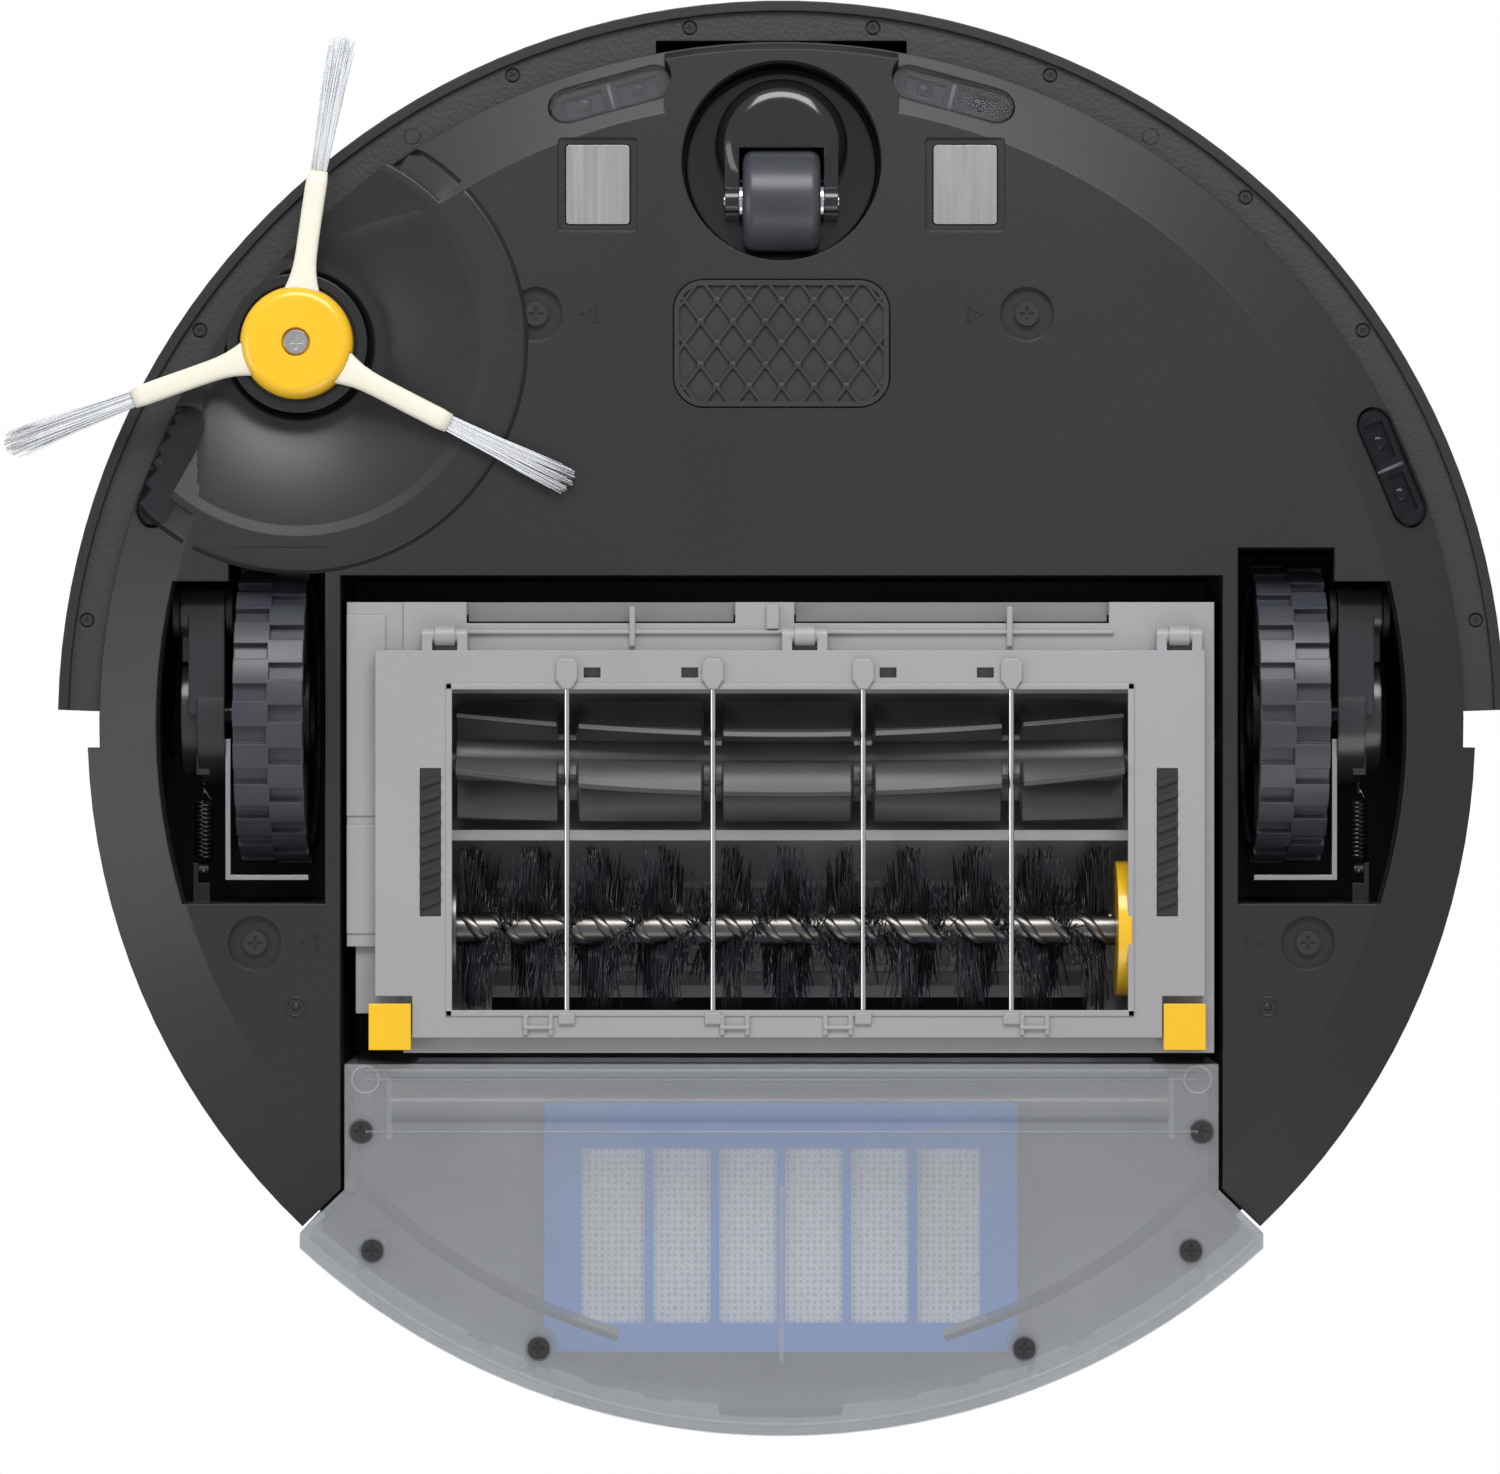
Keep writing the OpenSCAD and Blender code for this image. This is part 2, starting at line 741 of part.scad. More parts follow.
module bumper_rim() {
    color([0.15, 0.15, 0.155]) difference() {
        front_arc(rim_in_r, bumper_in_r, rim_z - gap, rim_z + rim_t, -bumper_end, bumper_end);
        block([-30, -caster_front - bumper_travel - 0.5, 0], [30, 0, 40]);
        rim_screw_spots() {
            translate([0, 0, -5]) cylinder(r = rim_screw_r + 0.5, h = 5.5);
            cylinder(r = 0.75, h = 10);
        }
    }
}

module bumper_screws() {
    color([0.05, 0.05, 0.05]) rim_screw_spots() translate([0, 0, -0.5])
        screw(rim_screw_r, 1, 0.7, 4);
}

module bumper_window() {
    color([0.05, 0.05, 0.07]) front_arc(bumper_r - 1, bumper_r - 0.1, window_z0, window_z1, -62, 62);
}

module sensor_dome() {
    color([0.05, 0.05, 0.06]) translate([0, dome_y, 0]) {
        translate([0, 0, tub_top_z + gap]) rotate_extrude() {
            square([dome_r, 4]);
            translate([0, 4 - eps]) intersection() {
                circle(r = dome_r);
                square([dome_r, top_z - tub_top_z - gap - 4.6]);
            }
        }
        translate([0, -1, lip_z + lip_t]) cylinder(r = 3, h = 2);
    }
}

// ---- Drive modules, built on the +X side ----

module drive_gearbox() {
    difference() {
        union() {
            rod(gearbox_x, gearbox_x + 6.6, wheel_y, wheel_r, 17.5);
            rod(gearbox_x + 6.5, gearbox_out_x, wheel_y, wheel_r, 15);
            rod(gearbox_x, gearbox_out_x, pivot_y, pivot_z, 6);
            block([gearbox_x, pivot_y, pivot_z - 6], [gearbox_out_x - 2, wheel_y, pivot_z + 12]);
            rod(gearbox_x, gearbox_out_x, pivot_y + 4, wheel_r + 9, 9);
            block([gearbox_x, pivot_y - 4, pivot_z], [gearbox_out_x, pivot_y + 12, wheel_r + 9]);
            block([spring_x - 1.6, wheel_y, spring_z - 2.5],
                [spring_x + 1.6, spring_y0 - 3.2, spring_z + 2.5]);
        }
        // Slot that clears the spring's hook
        rod(spring_x - 1.1, spring_x + 1.1, spring_y0, spring_z, 3.15);
    }
    rod(gearbox_x - gap - ear_t, gearbox_out_x + gap + ear_t, pivot_y, pivot_z, pivot_pin_r);
    rod(wheel_x + 2, gearbox_x + eps, wheel_y, wheel_r, axle_r);
}

module drive_bracket() {
    block([gearbox_x - 1.2, wheel_y + 6, spring_z - 5], [gearbox_x, bracket_y + 1.2, spring_z + 5]);
    block([wheel_x, bracket_y, spring_z - 5], [gearbox_x - 1.2 + eps, bracket_y + 1.2, spring_z + 5]);
}

module drive_rim() {
    difference() {
        union() {
            rod(wheel_x + 1, wheel_out_x - 1, wheel_y, wheel_r, rim_r - 0.02);
            rod(wheel_x, wheel_out_x + 1.2, wheel_y, wheel_r, 12);
        }
        rod(wheel_x - 1, wheel_x + 4, wheel_y, wheel_r, 9);
        difference() {
            union() {
                rod(wheel_x - 1, wheel_x + 5, wheel_y, wheel_r, rim_r - 2.5);
                rod(wheel_out_x - 4, wheel_out_x + 1, wheel_y, wheel_r, rim_r - 2.5);
            }
            rod(wheel_x - 2, wheel_out_x + 2, wheel_y, wheel_r, 12);
            for (a = [0 : 60 : 150]) translate([0, wheel_y, wheel_r]) rotate([a, 0, 0])
                block([wheel_x - 2, -rim_r, -1.5], [wheel_out_x + 2, rim_r, 1.5]);
        }
        rod(wheel_x - 1, wheel_out_x + 2, wheel_y, wheel_r, axle_r + shaft_gap);
    }
}

module drive_tyre() {
    step = 360 / tread_count;
    block_w = 2 * PI * wheel_r / tread_count * 0.4;
    difference() {
        rod(wheel_x, wheel_out_x, wheel_y, wheel_r, wheel_r);
        rod(wheel_x - 1, wheel_out_x + 1, wheel_y, wheel_r, rim_r);
        for (row = [0, 1]) for (i = [0 : tread_count - 1])
            translate([wheel_x + row * wheel_w / 2, wheel_y, wheel_r]) rotate([(i + row * 0.5) * step, 0, 0])
                block([row * 0.2 - (1 - row), -block_w / 2, wheel_r - tread_depth],
                    [wheel_w / 2 - 0.2 + row * 1.2 * 2, block_w / 2, wheel_r + 2]);
    }
}

module left_gearbox() {
    color([0.04, 0.04, 0.045]) mirror([1, 0, 0]) drive_gearbox();
}

module right_gearbox() {
    color([0.04, 0.04, 0.045]) drive_gearbox();
}

module left_bracket() {
    color([0.6, 0.6, 0.6]) mirror([1, 0, 0]) drive_bracket();
}

module right_bracket() {
    color([0.6, 0.6, 0.6]) drive_bracket();
}

module left_rim() {
    color([0.1, 0.1, 0.12]) mirror([1, 0, 0]) drive_rim();
}

module right_rim() {
    color([0.1, 0.1, 0.12]) drive_rim();
}

module left_tyre() {
    color([0.15, 0.16, 0.19]) mirror([1, 0, 0]) drive_tyre();
}

module right_tyre() {
    color([0.15, 0.16, 0.19]) drive_tyre();
}

// ---- Caster ----

module caster_fork() {
    color([0.05, 0.05, 0.05]) difference() {
        union() {
            translate([0, caster_y, caster_top_z - 2.6]) cylinder(r = caster_well_r - 1.2, h = 2.6);
            translate([0, caster_y, caster_top_z - eps]) cylinder(r = stem_r, h = 8);
            translate([0, hood_y, hood_z]) rotate_extrude() hood_profile();
            for (s = [0, 1]) mirror([s, 0, 0]) {
                rod(cheek_x, cheek_x + 3.4, axle_y, caster_r, 3.6);
                block([cheek_x, hood_y, caster_r - 2], [cheek_x + 3.4, axle_y + 3.6, caster_top_z - 2.5]);
            }
        }
        rod(-cheek_x, cheek_x, axle_y, caster_r, caster_r + 1);
        block([-cheek_x, axle_y - 8, -1], [cheek_x, axle_y + 30, caster_r + 6]);
        rod(-30, 30, axle_y, caster_r, caster_axle_r + shaft_gap);
    }
}

module hood_profile() {
    h = caster_top_z - 2.6 - hood_z + eps;
    translate([0, 6]) square([hood_r, h - 6]);
    square([hood_r - 6, h]);
    translate([hood_r - 6, 6]) circle(r = 6);
}

module caster_wheel() {
    color([0.12, 0.14, 0.17]) translate([-caster_w / 2, axle_y, caster_r]) rotate([0, 90, 0])
    rotate_extrude() {
        translate([caster_axle_r + shaft_gap, 0])
            square([caster_r - 2.5 - caster_axle_r - shaft_gap, caster_w]);
        translate([caster_r - 3, 2.5]) square([3, caster_w - 5]);
        for (x = [2.5, caster_w - 2.5]) translate([caster_r - 2.5, x]) circle(r = 2.5, $fn = 48);
    }
}

module caster_axle() {
    color([0.75, 0.75, 0.75]) {
        rod(-axle_half, axle_half, axle_y, caster_r, caster_axle_r);
        for (s = [0, 1]) mirror([s, 0, 0]) rod(caster_w / 2 + 0.1, cheek_x - 0.1, axle_y, caster_r, 4.6);
    }
}

// ---- Side brush ----

module arm_plan(grow) {
    polygon([[5, -4.6 - grow], [14, -4 - grow], [20, -2.8 - grow], [arm_tip_r, -2.8 - grow],
        [arm_tip_r, 2.8 + grow], [20, 2.8 + grow], [14, 4 + grow], [5, 4.6 + grow]]);
}

module sweeper_arms(grow) {
    translate([sweeper_x, sweeper_y, arm_z - grow]) for (a = sweeper_arm_angles) rotate([0, 0, a])
        linear_extrude(height = arm_t + 2 * grow) arm_plan(grow);
}

module side_brush_hub() {
    color([0.95, 0.75, 0.08]) difference() {
        translate([sweeper_x, sweeper_y, sweeper_hub_z]) {
            rotate_extrude() {
                translate([0, 3]) square([hub_r, sweeper_hub_h - 3]);
                square([hub_r - 3, sweeper_hub_h]);
                translate([hub_r - 3, 3]) circle(r = 3);
            }
            cylinder(r = sweeper_post_r, h = sweeper_top_z + 1 - sweeper_hub_z);
        }
        sweeper_arms(0);
        translate([sweeper_x, sweeper_y, 0]) {
            cylinder(r = 3.4, h = sweeper_hub_z + 1.6);
            cylinder(r = 1.5, h = sweeper_hub_z + sweeper_hub_h + 2);
        }
    }
}

module side_brush_arms() {
    color([0.93, 0.92, 0.84]) difference() {
        sweeper_arms(0);
        translate([sweeper_x, sweeper_y, 0]) cylinder(r = 5.6, h = 30);
    }
}

module side_brush_bristles() {
    color([0.9, 0.9, 0.92]) translate([sweeper_x, sweeper_y, arm_z + 0.4]) for (a = sweeper_arm_angles)
        rotate([0, 0, a]) linear_extrude(height = arm_t - 0.8)
            polygon([[arm_tip_r, -1.8], [sweep_r, -3.6], [sweep_r, 3.6], [arm_tip_r, 1.8]]);
}

module side_brush_screw() {
    color([0.8, 0.8, 0.8]) translate([sweeper_x, sweeper_y, sweeper_hub_z + 0.1]) screw(2.8, 1.5, 1.45, 6);
}

// ---- Cleaning head ----

module head_frame() {
    color([0.62, 0.62, 0.63]) {
        difference() {
            union() {
                difference() {
                    block([head_x0, head_front_y, head_z], [head_x1, head_rear_y, head_side_z]);
                    block([head_x0 + 9, head_front_y + head_wall, head_z + 2.4],
                        [head_x1 - 18, head_rear_y - head_wall, head_side_z + 5]);
                }
                intersection() {
                    union() {
                        rod(head_x0, head_x1, flapper_y, flapper_z, flapper_r + brush_gap + 2);
                        rod(head_x0, head_x1, bristle_y, bristle_z, bristle_r + brush_gap + 2);
                    }
                    block([head_x0, head_front_y, head_z], [head_x1, head_rear_y, head_top_z]);
                }
                rod(head_x0 + 4, head_x1 + 1.2, float_y, float_z, 9);
            }
            rod(guard_open_x0, guard_open_x1, flapper_y, flapper_z, flapper_r + brush_gap);
            rod(guard_open_x0, guard_open_x1, bristle_y, bristle_z, bristle_r + brush_gap);
            block([guard_open_x0, guard_open_y0, -1], [guard_open_x1, guard_open_y1, bristle_z - 6]);
            for (p = [[flapper_y, flapper_z], [bristle_y, bristle_z]])
                rod(head_x0 - 1, head_x1 - 5, p[0], p[1], brush_shaft_r + shaft_gap);
            // Mouth that throws the dirt back into the bin
            block([-70, bristle_y, mouth_z0], [74, head_rear_y + 1, mouth_z1]);
            // Panels in the front wall
            block([-75, head_front_y - 1, head_z - 1], [-11, head_front_y + 5, head_z + 3]);
            block([3, head_front_y - 1, head_z - 1], [78, head_front_y + 5, head_z + 3]);
        }
        // Knuckles that the guard hinges on
        difference() {
            for (x = knuckle_at) {
                rod(x - 2.4, x + 2.4, guard_hinge_y, guard_hinge_z, 2.4);
                block([x - 2.4, guard_hinge_y - 1.6, guard_hinge_z],
                    [x + 2.4, guard_hinge_y + 1.6, head_z + eps]);
            }
            rod(-120, 120, guard_hinge_y, guard_hinge_z, guard_pin_r + shaft_gap);
        }
        rod(head_x1 - eps, bay_half_w + 2, float_y, float_z, float_pin_r);
    }
}

module head_gearbox() {
    color([0.6, 0.6, 0.61]) difference() {
        union() {
            block([gear_case_x, head_front_y, head_z + 0.6], [head_x0, 53, head_side_z - 3]);
            block([gear_case_x + 2, 53 - eps, head_z + 2.4], [head_x0, gear_case_rear_y, head_side_z - 8]);
            rod(-bay_half_w - 2, head_x0, float_y, float_z, float_pin_r);
            rod(-bay_half_w + 0.6, head_x0, float_y, float_z, 8);
        }
        for (p = [[flapper_y, flapper_z], [bristle_y, bristle_z]])
            rod(head_x0 - 6, head_x0 + 1, p[0], p[1], brush_shaft_r + shaft_gap);
    }
}

module head_motor() {
    color([0.5, 0.5, 0.5]) {
        rod(head_x0 + 9, head_x0 + 47, motor_y, motor_z, motor_r);
        rod(head_x0 + 46, head_x0 + 50, motor_y, motor_z, 3);
    }
}

// ---- Brush guard ----

module brush_guard() {
    color([0.66, 0.66, 0.67]) {
        difference() {
            union() {
                block([guard_x0, guard_front_y, guard_z], [guard_x1, guard_rear_y, guard_z + guard_t]);
                for (x = knuckle_at) for (s = [-1, 1])
                    hinge_arm(x + s * 4.2 - 1.2);
            }
            block([guard_open_x0, guard_open_y0, guard_z - 1], [guard_open_x1, guard_open_y1, guard_z + 10]);
            // Hollows that lighten the side posts
            block([guard_x0 + 2, guard_open_y0 + 14, guard_z + 1.4], [guard_open_x0 - 2, 60, guard_z + 10]);
            block([guard_open_x1 + 2, guard_open_y0 + 14, guard_z + 1.4], [guard_x1 - 2, 60, guard_z + 10]);
            for (x = knuckle_at)
                block([x - 2.8, guard_front_y - 1, guard_z - 1], [x + 2.8, guard_hinge_y + 3, guard_z + 10]);
            // Pockets for the rubber strips and the latches
            for (p = pad_at)
                block([p[0] - pad_size[0] / 2, p[1] - pad_size[1] / 2, guard_z - 1],
                    [p[0] + pad_size[0] / 2, p[1] + pad_size[1] / 2, guard_z + 1]);
            for (x = latch_at) block([x - latch_w / 2 - gap, latch_y0 - latch_travel - gap, guard_z - 1],
                [x + latch_w / 2 + gap, guard_rear_y + 1, guard_z + 10]);
            for (x = [-45, -21.8, 25.3, 48.4]) block([x - 2, -13.4, guard_z - 1], [x + 2, -11, guard_z + 10]);
            for (x = wire_at) rod_y(x, wire_z, guard_open_y0 - 3, guard_open_y1 + 3, wire_d / 2 + eps);
        }
        for (x = knuckle_at) rod(x - 4, x + 4, guard_hinge_y, guard_hinge_z, guard_pin_r);
    }
}

module hinge_arm(x) {
    rod(x, x + 2.4, guard_hinge_y, guard_hinge_z, guard_t / 2);
    block([x, guard_hinge_y, guard_z], [x + 2.4, guard_front_y + 1, guard_z + guard_t]);
}

module guard_wires() {
    color([0.8, 0.8, 0.8]) for (x = wire_at)
        rod_y(x, wire_z, guard_open_y0 - 2.8, guard_open_y1 + 2.8, wire_d / 2);
}

module guard_pads() {
    color([0.05, 0.05, 0.05]) for (p = pad_at) {
        block([p[0] - pad_size[0] / 2 + 0.1, p[1] - pad_size[1] / 2 + 0.1, guard_z + 0.2],
            [p[0] + pad_size[0] / 2 - 0.1, p[1] + pad_size[1] / 2 - 0.1, guard_z + 1]);
        for (i = [0 : 8]) translate([p[0], p[1] - pad_size[1] / 2 + 3 + i * 3.6, guard_z - 0.6])
            linear_extrude(height = 0.81) polygon([[-2.3, 0.4], [2.3, -1.2], [2.3, 0], [-2.3, 1.6]]);
    }
}

module latch(x) {
    block([x - latch_w / 2, latch_y0, guard_z - 0.8], [x + latch_w / 2, latch_y1, guard_z + 2.4]);
    block([x - latch_w / 2 + 1.5, latch_y0 + 1, guard_z + 2.3],
        [x + latch_w / 2 - 1.5, latch_y1 - 4, guard_z + guard_t]);
}

module left_latch() {
    color([0.95, 0.72, 0.05]) latch(latch_at[0]);
}

module right_latch() {
    color([0.95, 0.72, 0.05]) latch(latch_at[1]);
}

// ---- Brushes ----

// A groove round a brush that leaves room for each guard wire
module wire_grooves(y, z, out_r) {
    in_r = z - wire_z - wire_d / 2 - 0.6;
    for (x = wire_at) difference() {
        rod(x - 2.1, x + 2.1, y, z, out_r + 2);
        rod(x - 3, x + 3, y, z, in_r);
    }
}

module bristle_core() {
    color([0.1, 0.1, 0.1]) {
        rod(brush_x0, brush_x1, bristle_y, bristle_z, core_r);
        rod(brush_x0 - 1.4, brush_x0 + eps, bristle_y, bristle_z, 13);
        rod(head_x0 - 5, head_x1 - 8, bristle_y, bristle_z, brush_shaft_r);
    }
}

module bristle_tufts() {
    color([0.06, 0.06, 0.065]) difference() {
        translate([brush_x0, bristle_y, bristle_z]) for (a = [0 : 60 : 300]) rotate([a + 15, 0, 0])
            block([0.2, -2, core_r - 0.3], [brush_x1 - brush_x0 - 0.2, 2, bristle_r]);
        rod(brush_x0 - 1, brush_x1 + 1, bristle_y, bristle_z, core_r);
        wire_grooves(bristle_y, bristle_z, bristle_r);
    }
}

module bristle_end_cap() {
    color([0.95, 0.75, 0.08]) difference() {
        rod(brush_x1, guard_open_x1 - gap, bristle_y, bristle_z, 16.2);
        rod(brush_x1 - 1, guard_open_x1 + 1, bristle_y, bristle_z, brush_shaft_r);
    }
}

module flapper_core() {
    color([0.25, 0.24, 0.23]) {
        rod(brush_x0, brush_x1 + 1.6, flapper_y, flapper_z, flap_core_r);
        rod(head_x0 - 5, head_x1 - 8, flapper_y, flapper_z, brush_shaft_r);
    }
}

module flapper_blades() {
    color([0.2, 0.19, 0.18]) difference() {
        translate([brush_x0, flapper_y, flapper_z]) for (a = [0 : 60 : 300]) rotate([a, 0, 0])
            block([0.2, -0.9, flap_core_r - 0.3], [brush_x1 - brush_x0 + 1.4, 0.9, flapper_r]);
        rod(brush_x0 - 1, brush_x1 + 3, flapper_y, flapper_z, flap_core_r);
        wire_grooves(flapper_y, flapper_z, flapper_r);
    }
}

// ---- Bin ----

module bin_plan(inset) {
    intersection() {
        circle(r = bin_r - inset, $fn = 180);
        polygon([[-bin_half_w + inset, bin_front_y + inset], [bin_half_w - inset, bin_front_y + inset],
            [bin_half_w - inset, flare_y + 0.4 * inset], [flare_end_x - gap - inset, flare_end_y + 0.6],
            [flare_end_x - gap - inset, bin_r + 1], [-flare_end_x + gap + inset, bin_r + 1],
            [-flare_end_x + gap + inset, flare_end_y + 0.6], [-bin_half_w + inset, flare_y + 0.4 * inset]]);
    }
}

module bin_slice(z0, z1, inset) {
    translate([0, 0, z0]) linear_extrude(height = z1 - z0) bin_plan(inset);
}

module bin_bosses() {
    for (p = bin_boss_at) for (s = [-1, 1]) translate([s * p[0], p[1], 0]) children();
}

module bin_tub() {
    color([0.3, 0.3, 0.31, 0.8]) difference() {
        union() {
            difference() {
                bin_slice(bin_z + bin_cover_t, bin_top_z, 0);
                bin_slice(0, bin_deck_z, bin_wall);
                bin_slice(bin_deck_z + bin_wall, bin_top_z - bin_wall, bin_wall);
            }
            // Screw bosses, each tied to the rear wall by a rib
            intersection() {
                bin_bosses() translate([0, 0, bin_z + bin_cover_t]) cylinder(r = 3.8, h = 14);
                bin_slice(0, 60, 1);
            }
            for (p = [bin_boss_at[1], bin_boss_at[2]]) for (s = [0, 1]) mirror([s, 0, 0])
                translate([p[0], p[1], bin_z + bin_cover_t]) rotate([0, 0, atan2(p[1], p[0])])
                    block([2, -1, 1], [bin_r - bin_wall / 2 - norm(p), 1, 12]);
            // Cheeks thick enough for the rail grooves
            for (s = [0, 1]) mirror([s, 0, 0]) block([bin_half_w - 5, bin_front_y + 1, rail_z - 2.6],
                [bin_half_w - 1, flare_y, rail_z + rail_t + 2.6]);
        }
        for (s = [0, 1]) mirror([s, 0, 0]) block([bay_half_w - 2.2 - run_gap, bin_front_y - 1, rail_z - gap],
            [bay_half_w + 1, flare_y - 4, rail_z + rail_t + gap]);
        bin_bosses() cylinder(r = 1.3, h = bin_z + bin_cover_t + 8);
        // Mouth, air slots and the release button's window
        block([-88, bin_front_y - 1, mouth_z0 - 2], [90, bin_front_y + bin_wall + 1, mouth_z1 + 2]);
        for (i = [-5 : 5]) if (abs(i) > 1) outwards(180 + i * 5.2, bin_r)
            block([-3.4, -3, 54], [3.4, 4, 66]);
        block([-15 - gap, bin_r - 12, 54 - gap], [15 + gap, bin_r + 2, 63 + gap]);
        translate([0, fan_y, bin_deck_z - 1]) cylinder(r = 20, h = bin_wall + 2);
    }
}

module bin_cover() {
    color([0.75, 0.76, 0.78, 0.5]) difference() {
        union() {
            bin_slice(bin_z, bin_z + bin_cover_t, 0);
            intersection() {
                rod(-93, 92, rod_y, bin_z + bin_cover_t, rod_r);
                block([-120, 0, 0], [120, 200, bin_z + 1]);
            }
            block([-93, 81.8, bin_z - 0.8], [92, 84, bin_z + 0.5]);
        }
        bin_bosses() {
            cylinder(r = 3, h = bin_z + 1);
            cylinder(r = 1.5, h = 20);
        }
    }
}

module bin_screws() {
    color([0.07, 0.07, 0.07]) bin_bosses() translate([0, 0, bin_z]) screw(2.6, 1, 1.25, 7);
}

module filter_frame() {
    color([0.25, 0.45, 0.8]) translate([0, 0, filter_z]) difference() {
        block([-filter_half_w, filter_y0, 0], [filter_half_w, filter_y1, filter_h]);
        block([-filter_half_w + 9, filter_y0 + 11, -1], [filter_half_w - 9, filter_y1 - 7, filter_h + 1]);
        filter_pocket();
    }
    color([0.25, 0.45, 0.8]) for (i = [0 : filter_bars - 1])
        translate([(i - (filter_bars - 1) / 2) * filter_pitch, 0, filter_z])
            block([-1, filter_y0 + 10, 0], [1, filter_y1 - 6, 2]);
}

module filter_pocket() {
    block([-filter_half_w + 8, filter_y0 + 10, 2], [filter_half_w - 8, filter_y1 - 6, filter_h + 1]);
}

module filter_media() {
    color([0.93, 0.94, 0.95]) translate([0, 0, filter_z])
        block([-filter_half_w + 8, filter_y0 + 10, 2], [filter_half_w - 8, filter_y1 - 6, filter_h - 1]);
}

module bin_fan() {
    color([0.2, 0.2, 0.2]) translate([0, fan_y, bin_deck_z + bin_wall]) difference() {
        cylinder(r = 24, h = bin_top_z - 2 * bin_wall - bin_deck_z - 1);
        translate([0, 0, -1]) cylinder(r = 16, h = 4);
    }
}

module bin_button() {
    color([0.12, 0.12, 0.12]) intersection() {
        block([-15, bin_r - 8, 54], [15, bin_r + 2, 63]);
        difference() {
            translate([0, 0, 40]) cylinder(r = bin_r + 0.4, h = 30, $fn = 180);
            translate([0, 0, 39]) cylinder(r = bin_r - 4, h = 32, $fn = 180);
        }
    }
}

// ---- Handle and buttons ----

module handle() {
    color([0.14, 0.14, 0.145]) translate([0, handle_y, 0]) {
        difference() {
            translate([0, 0, handle_z]) cylinder(r = handle_in_r + handle_w, h = handle_t);
            translate([0, 0, handle_z - 1]) cylinder(r = handle_in_r, h = handle_t + 2);
            block([-150, -150, 0], [150, 0, 120]);
        }
        for (s = [0, 1]) mirror([s, 0, 0]) {
            rod(handle_in_r, handle_in_r + handle_w, 0, handle_z + handle_t / 2, handle_t / 2);
            rod(handle_in_r - 2.8, handle_in_r + 1, 0, handle_z + handle_t / 2, handle_pin_r);
        }
    }
}

module top_button(x, r) {
    translate([x, start_y, button_z]) cylinder(r = r, h = top_z - 0.2 - button_z);
}

module clean_button() {
    color([0.75, 0.75, 0.76]) top_button(0, start_r - gap);
}

module spot_button() {
    color([0.3, 0.3, 0.31]) top_button(-small_button_x, small_button_r - gap);
}

module dock_button() {
    color([0.3, 0.3, 0.31]) top_button(small_button_x, small_button_r - gap);
}

bottom_cover();
chassis_tub();
top_cover();
top_panel();
texture_pad();
cover_screws();
charge_contacts();
cliff_windows();
cliff_sensors();
battery();
main_board();
side_brush_gearbox();
left_spring();
right_spring();
bumper_shell();
bumper_rim();
bumper_screws();
bumper_window();
sensor_dome();
left_gearbox();
left_bracket();
left_rim();
left_tyre();
right_gearbox();
right_bracket();
right_rim();
right_tyre();
caster_fork();
caster_wheel();
caster_axle();
side_brush_hub();
side_brush_arms();
side_brush_bristles();
side_brush_screw();
head_frame();
head_gearbox();
head_motor();
brush_guard();
guard_wires();
guard_pads();
left_latch();
right_latch();
bristle_core();
bristle_tufts();
bristle_end_cap();
flapper_core();
flapper_blades();
bin_tub();
bin_cover();
bin_screws();
filter_frame();
filter_media();
bin_fan();
bin_button();
handle();
clean_button();
spot_button();
dock_button();
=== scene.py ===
import math
import random
import bpy
import bmesh
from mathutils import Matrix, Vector


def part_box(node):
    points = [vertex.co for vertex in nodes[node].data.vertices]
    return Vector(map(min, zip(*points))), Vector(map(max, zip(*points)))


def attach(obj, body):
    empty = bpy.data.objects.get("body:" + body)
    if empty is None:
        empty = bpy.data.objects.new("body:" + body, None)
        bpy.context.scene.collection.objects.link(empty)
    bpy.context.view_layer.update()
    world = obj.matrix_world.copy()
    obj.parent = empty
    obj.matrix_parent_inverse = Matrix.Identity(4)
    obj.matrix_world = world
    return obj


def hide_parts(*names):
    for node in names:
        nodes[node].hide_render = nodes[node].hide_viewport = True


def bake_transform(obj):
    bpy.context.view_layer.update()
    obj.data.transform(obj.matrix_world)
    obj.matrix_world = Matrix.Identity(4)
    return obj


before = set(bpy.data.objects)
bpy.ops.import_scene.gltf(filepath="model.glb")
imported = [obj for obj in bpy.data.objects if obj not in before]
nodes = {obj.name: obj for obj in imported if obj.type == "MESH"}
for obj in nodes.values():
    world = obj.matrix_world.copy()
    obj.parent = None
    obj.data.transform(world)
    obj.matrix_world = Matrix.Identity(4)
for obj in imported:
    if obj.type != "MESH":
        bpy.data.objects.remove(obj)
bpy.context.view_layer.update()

mm = 0.001

# What the other pieces are placed by
body = {
    "bellyHeight": 8 * mm,     # flat underside above the floor
    "creaseRadius": 148 * mm,  # where the flat underside turns up
    "edgeRadius": 163 * mm,    # outer edge of the turned-up rim
    "edgeHeight": 15.2 * mm,   # height of that edge
}
print("frame loaded")


# Shader maths

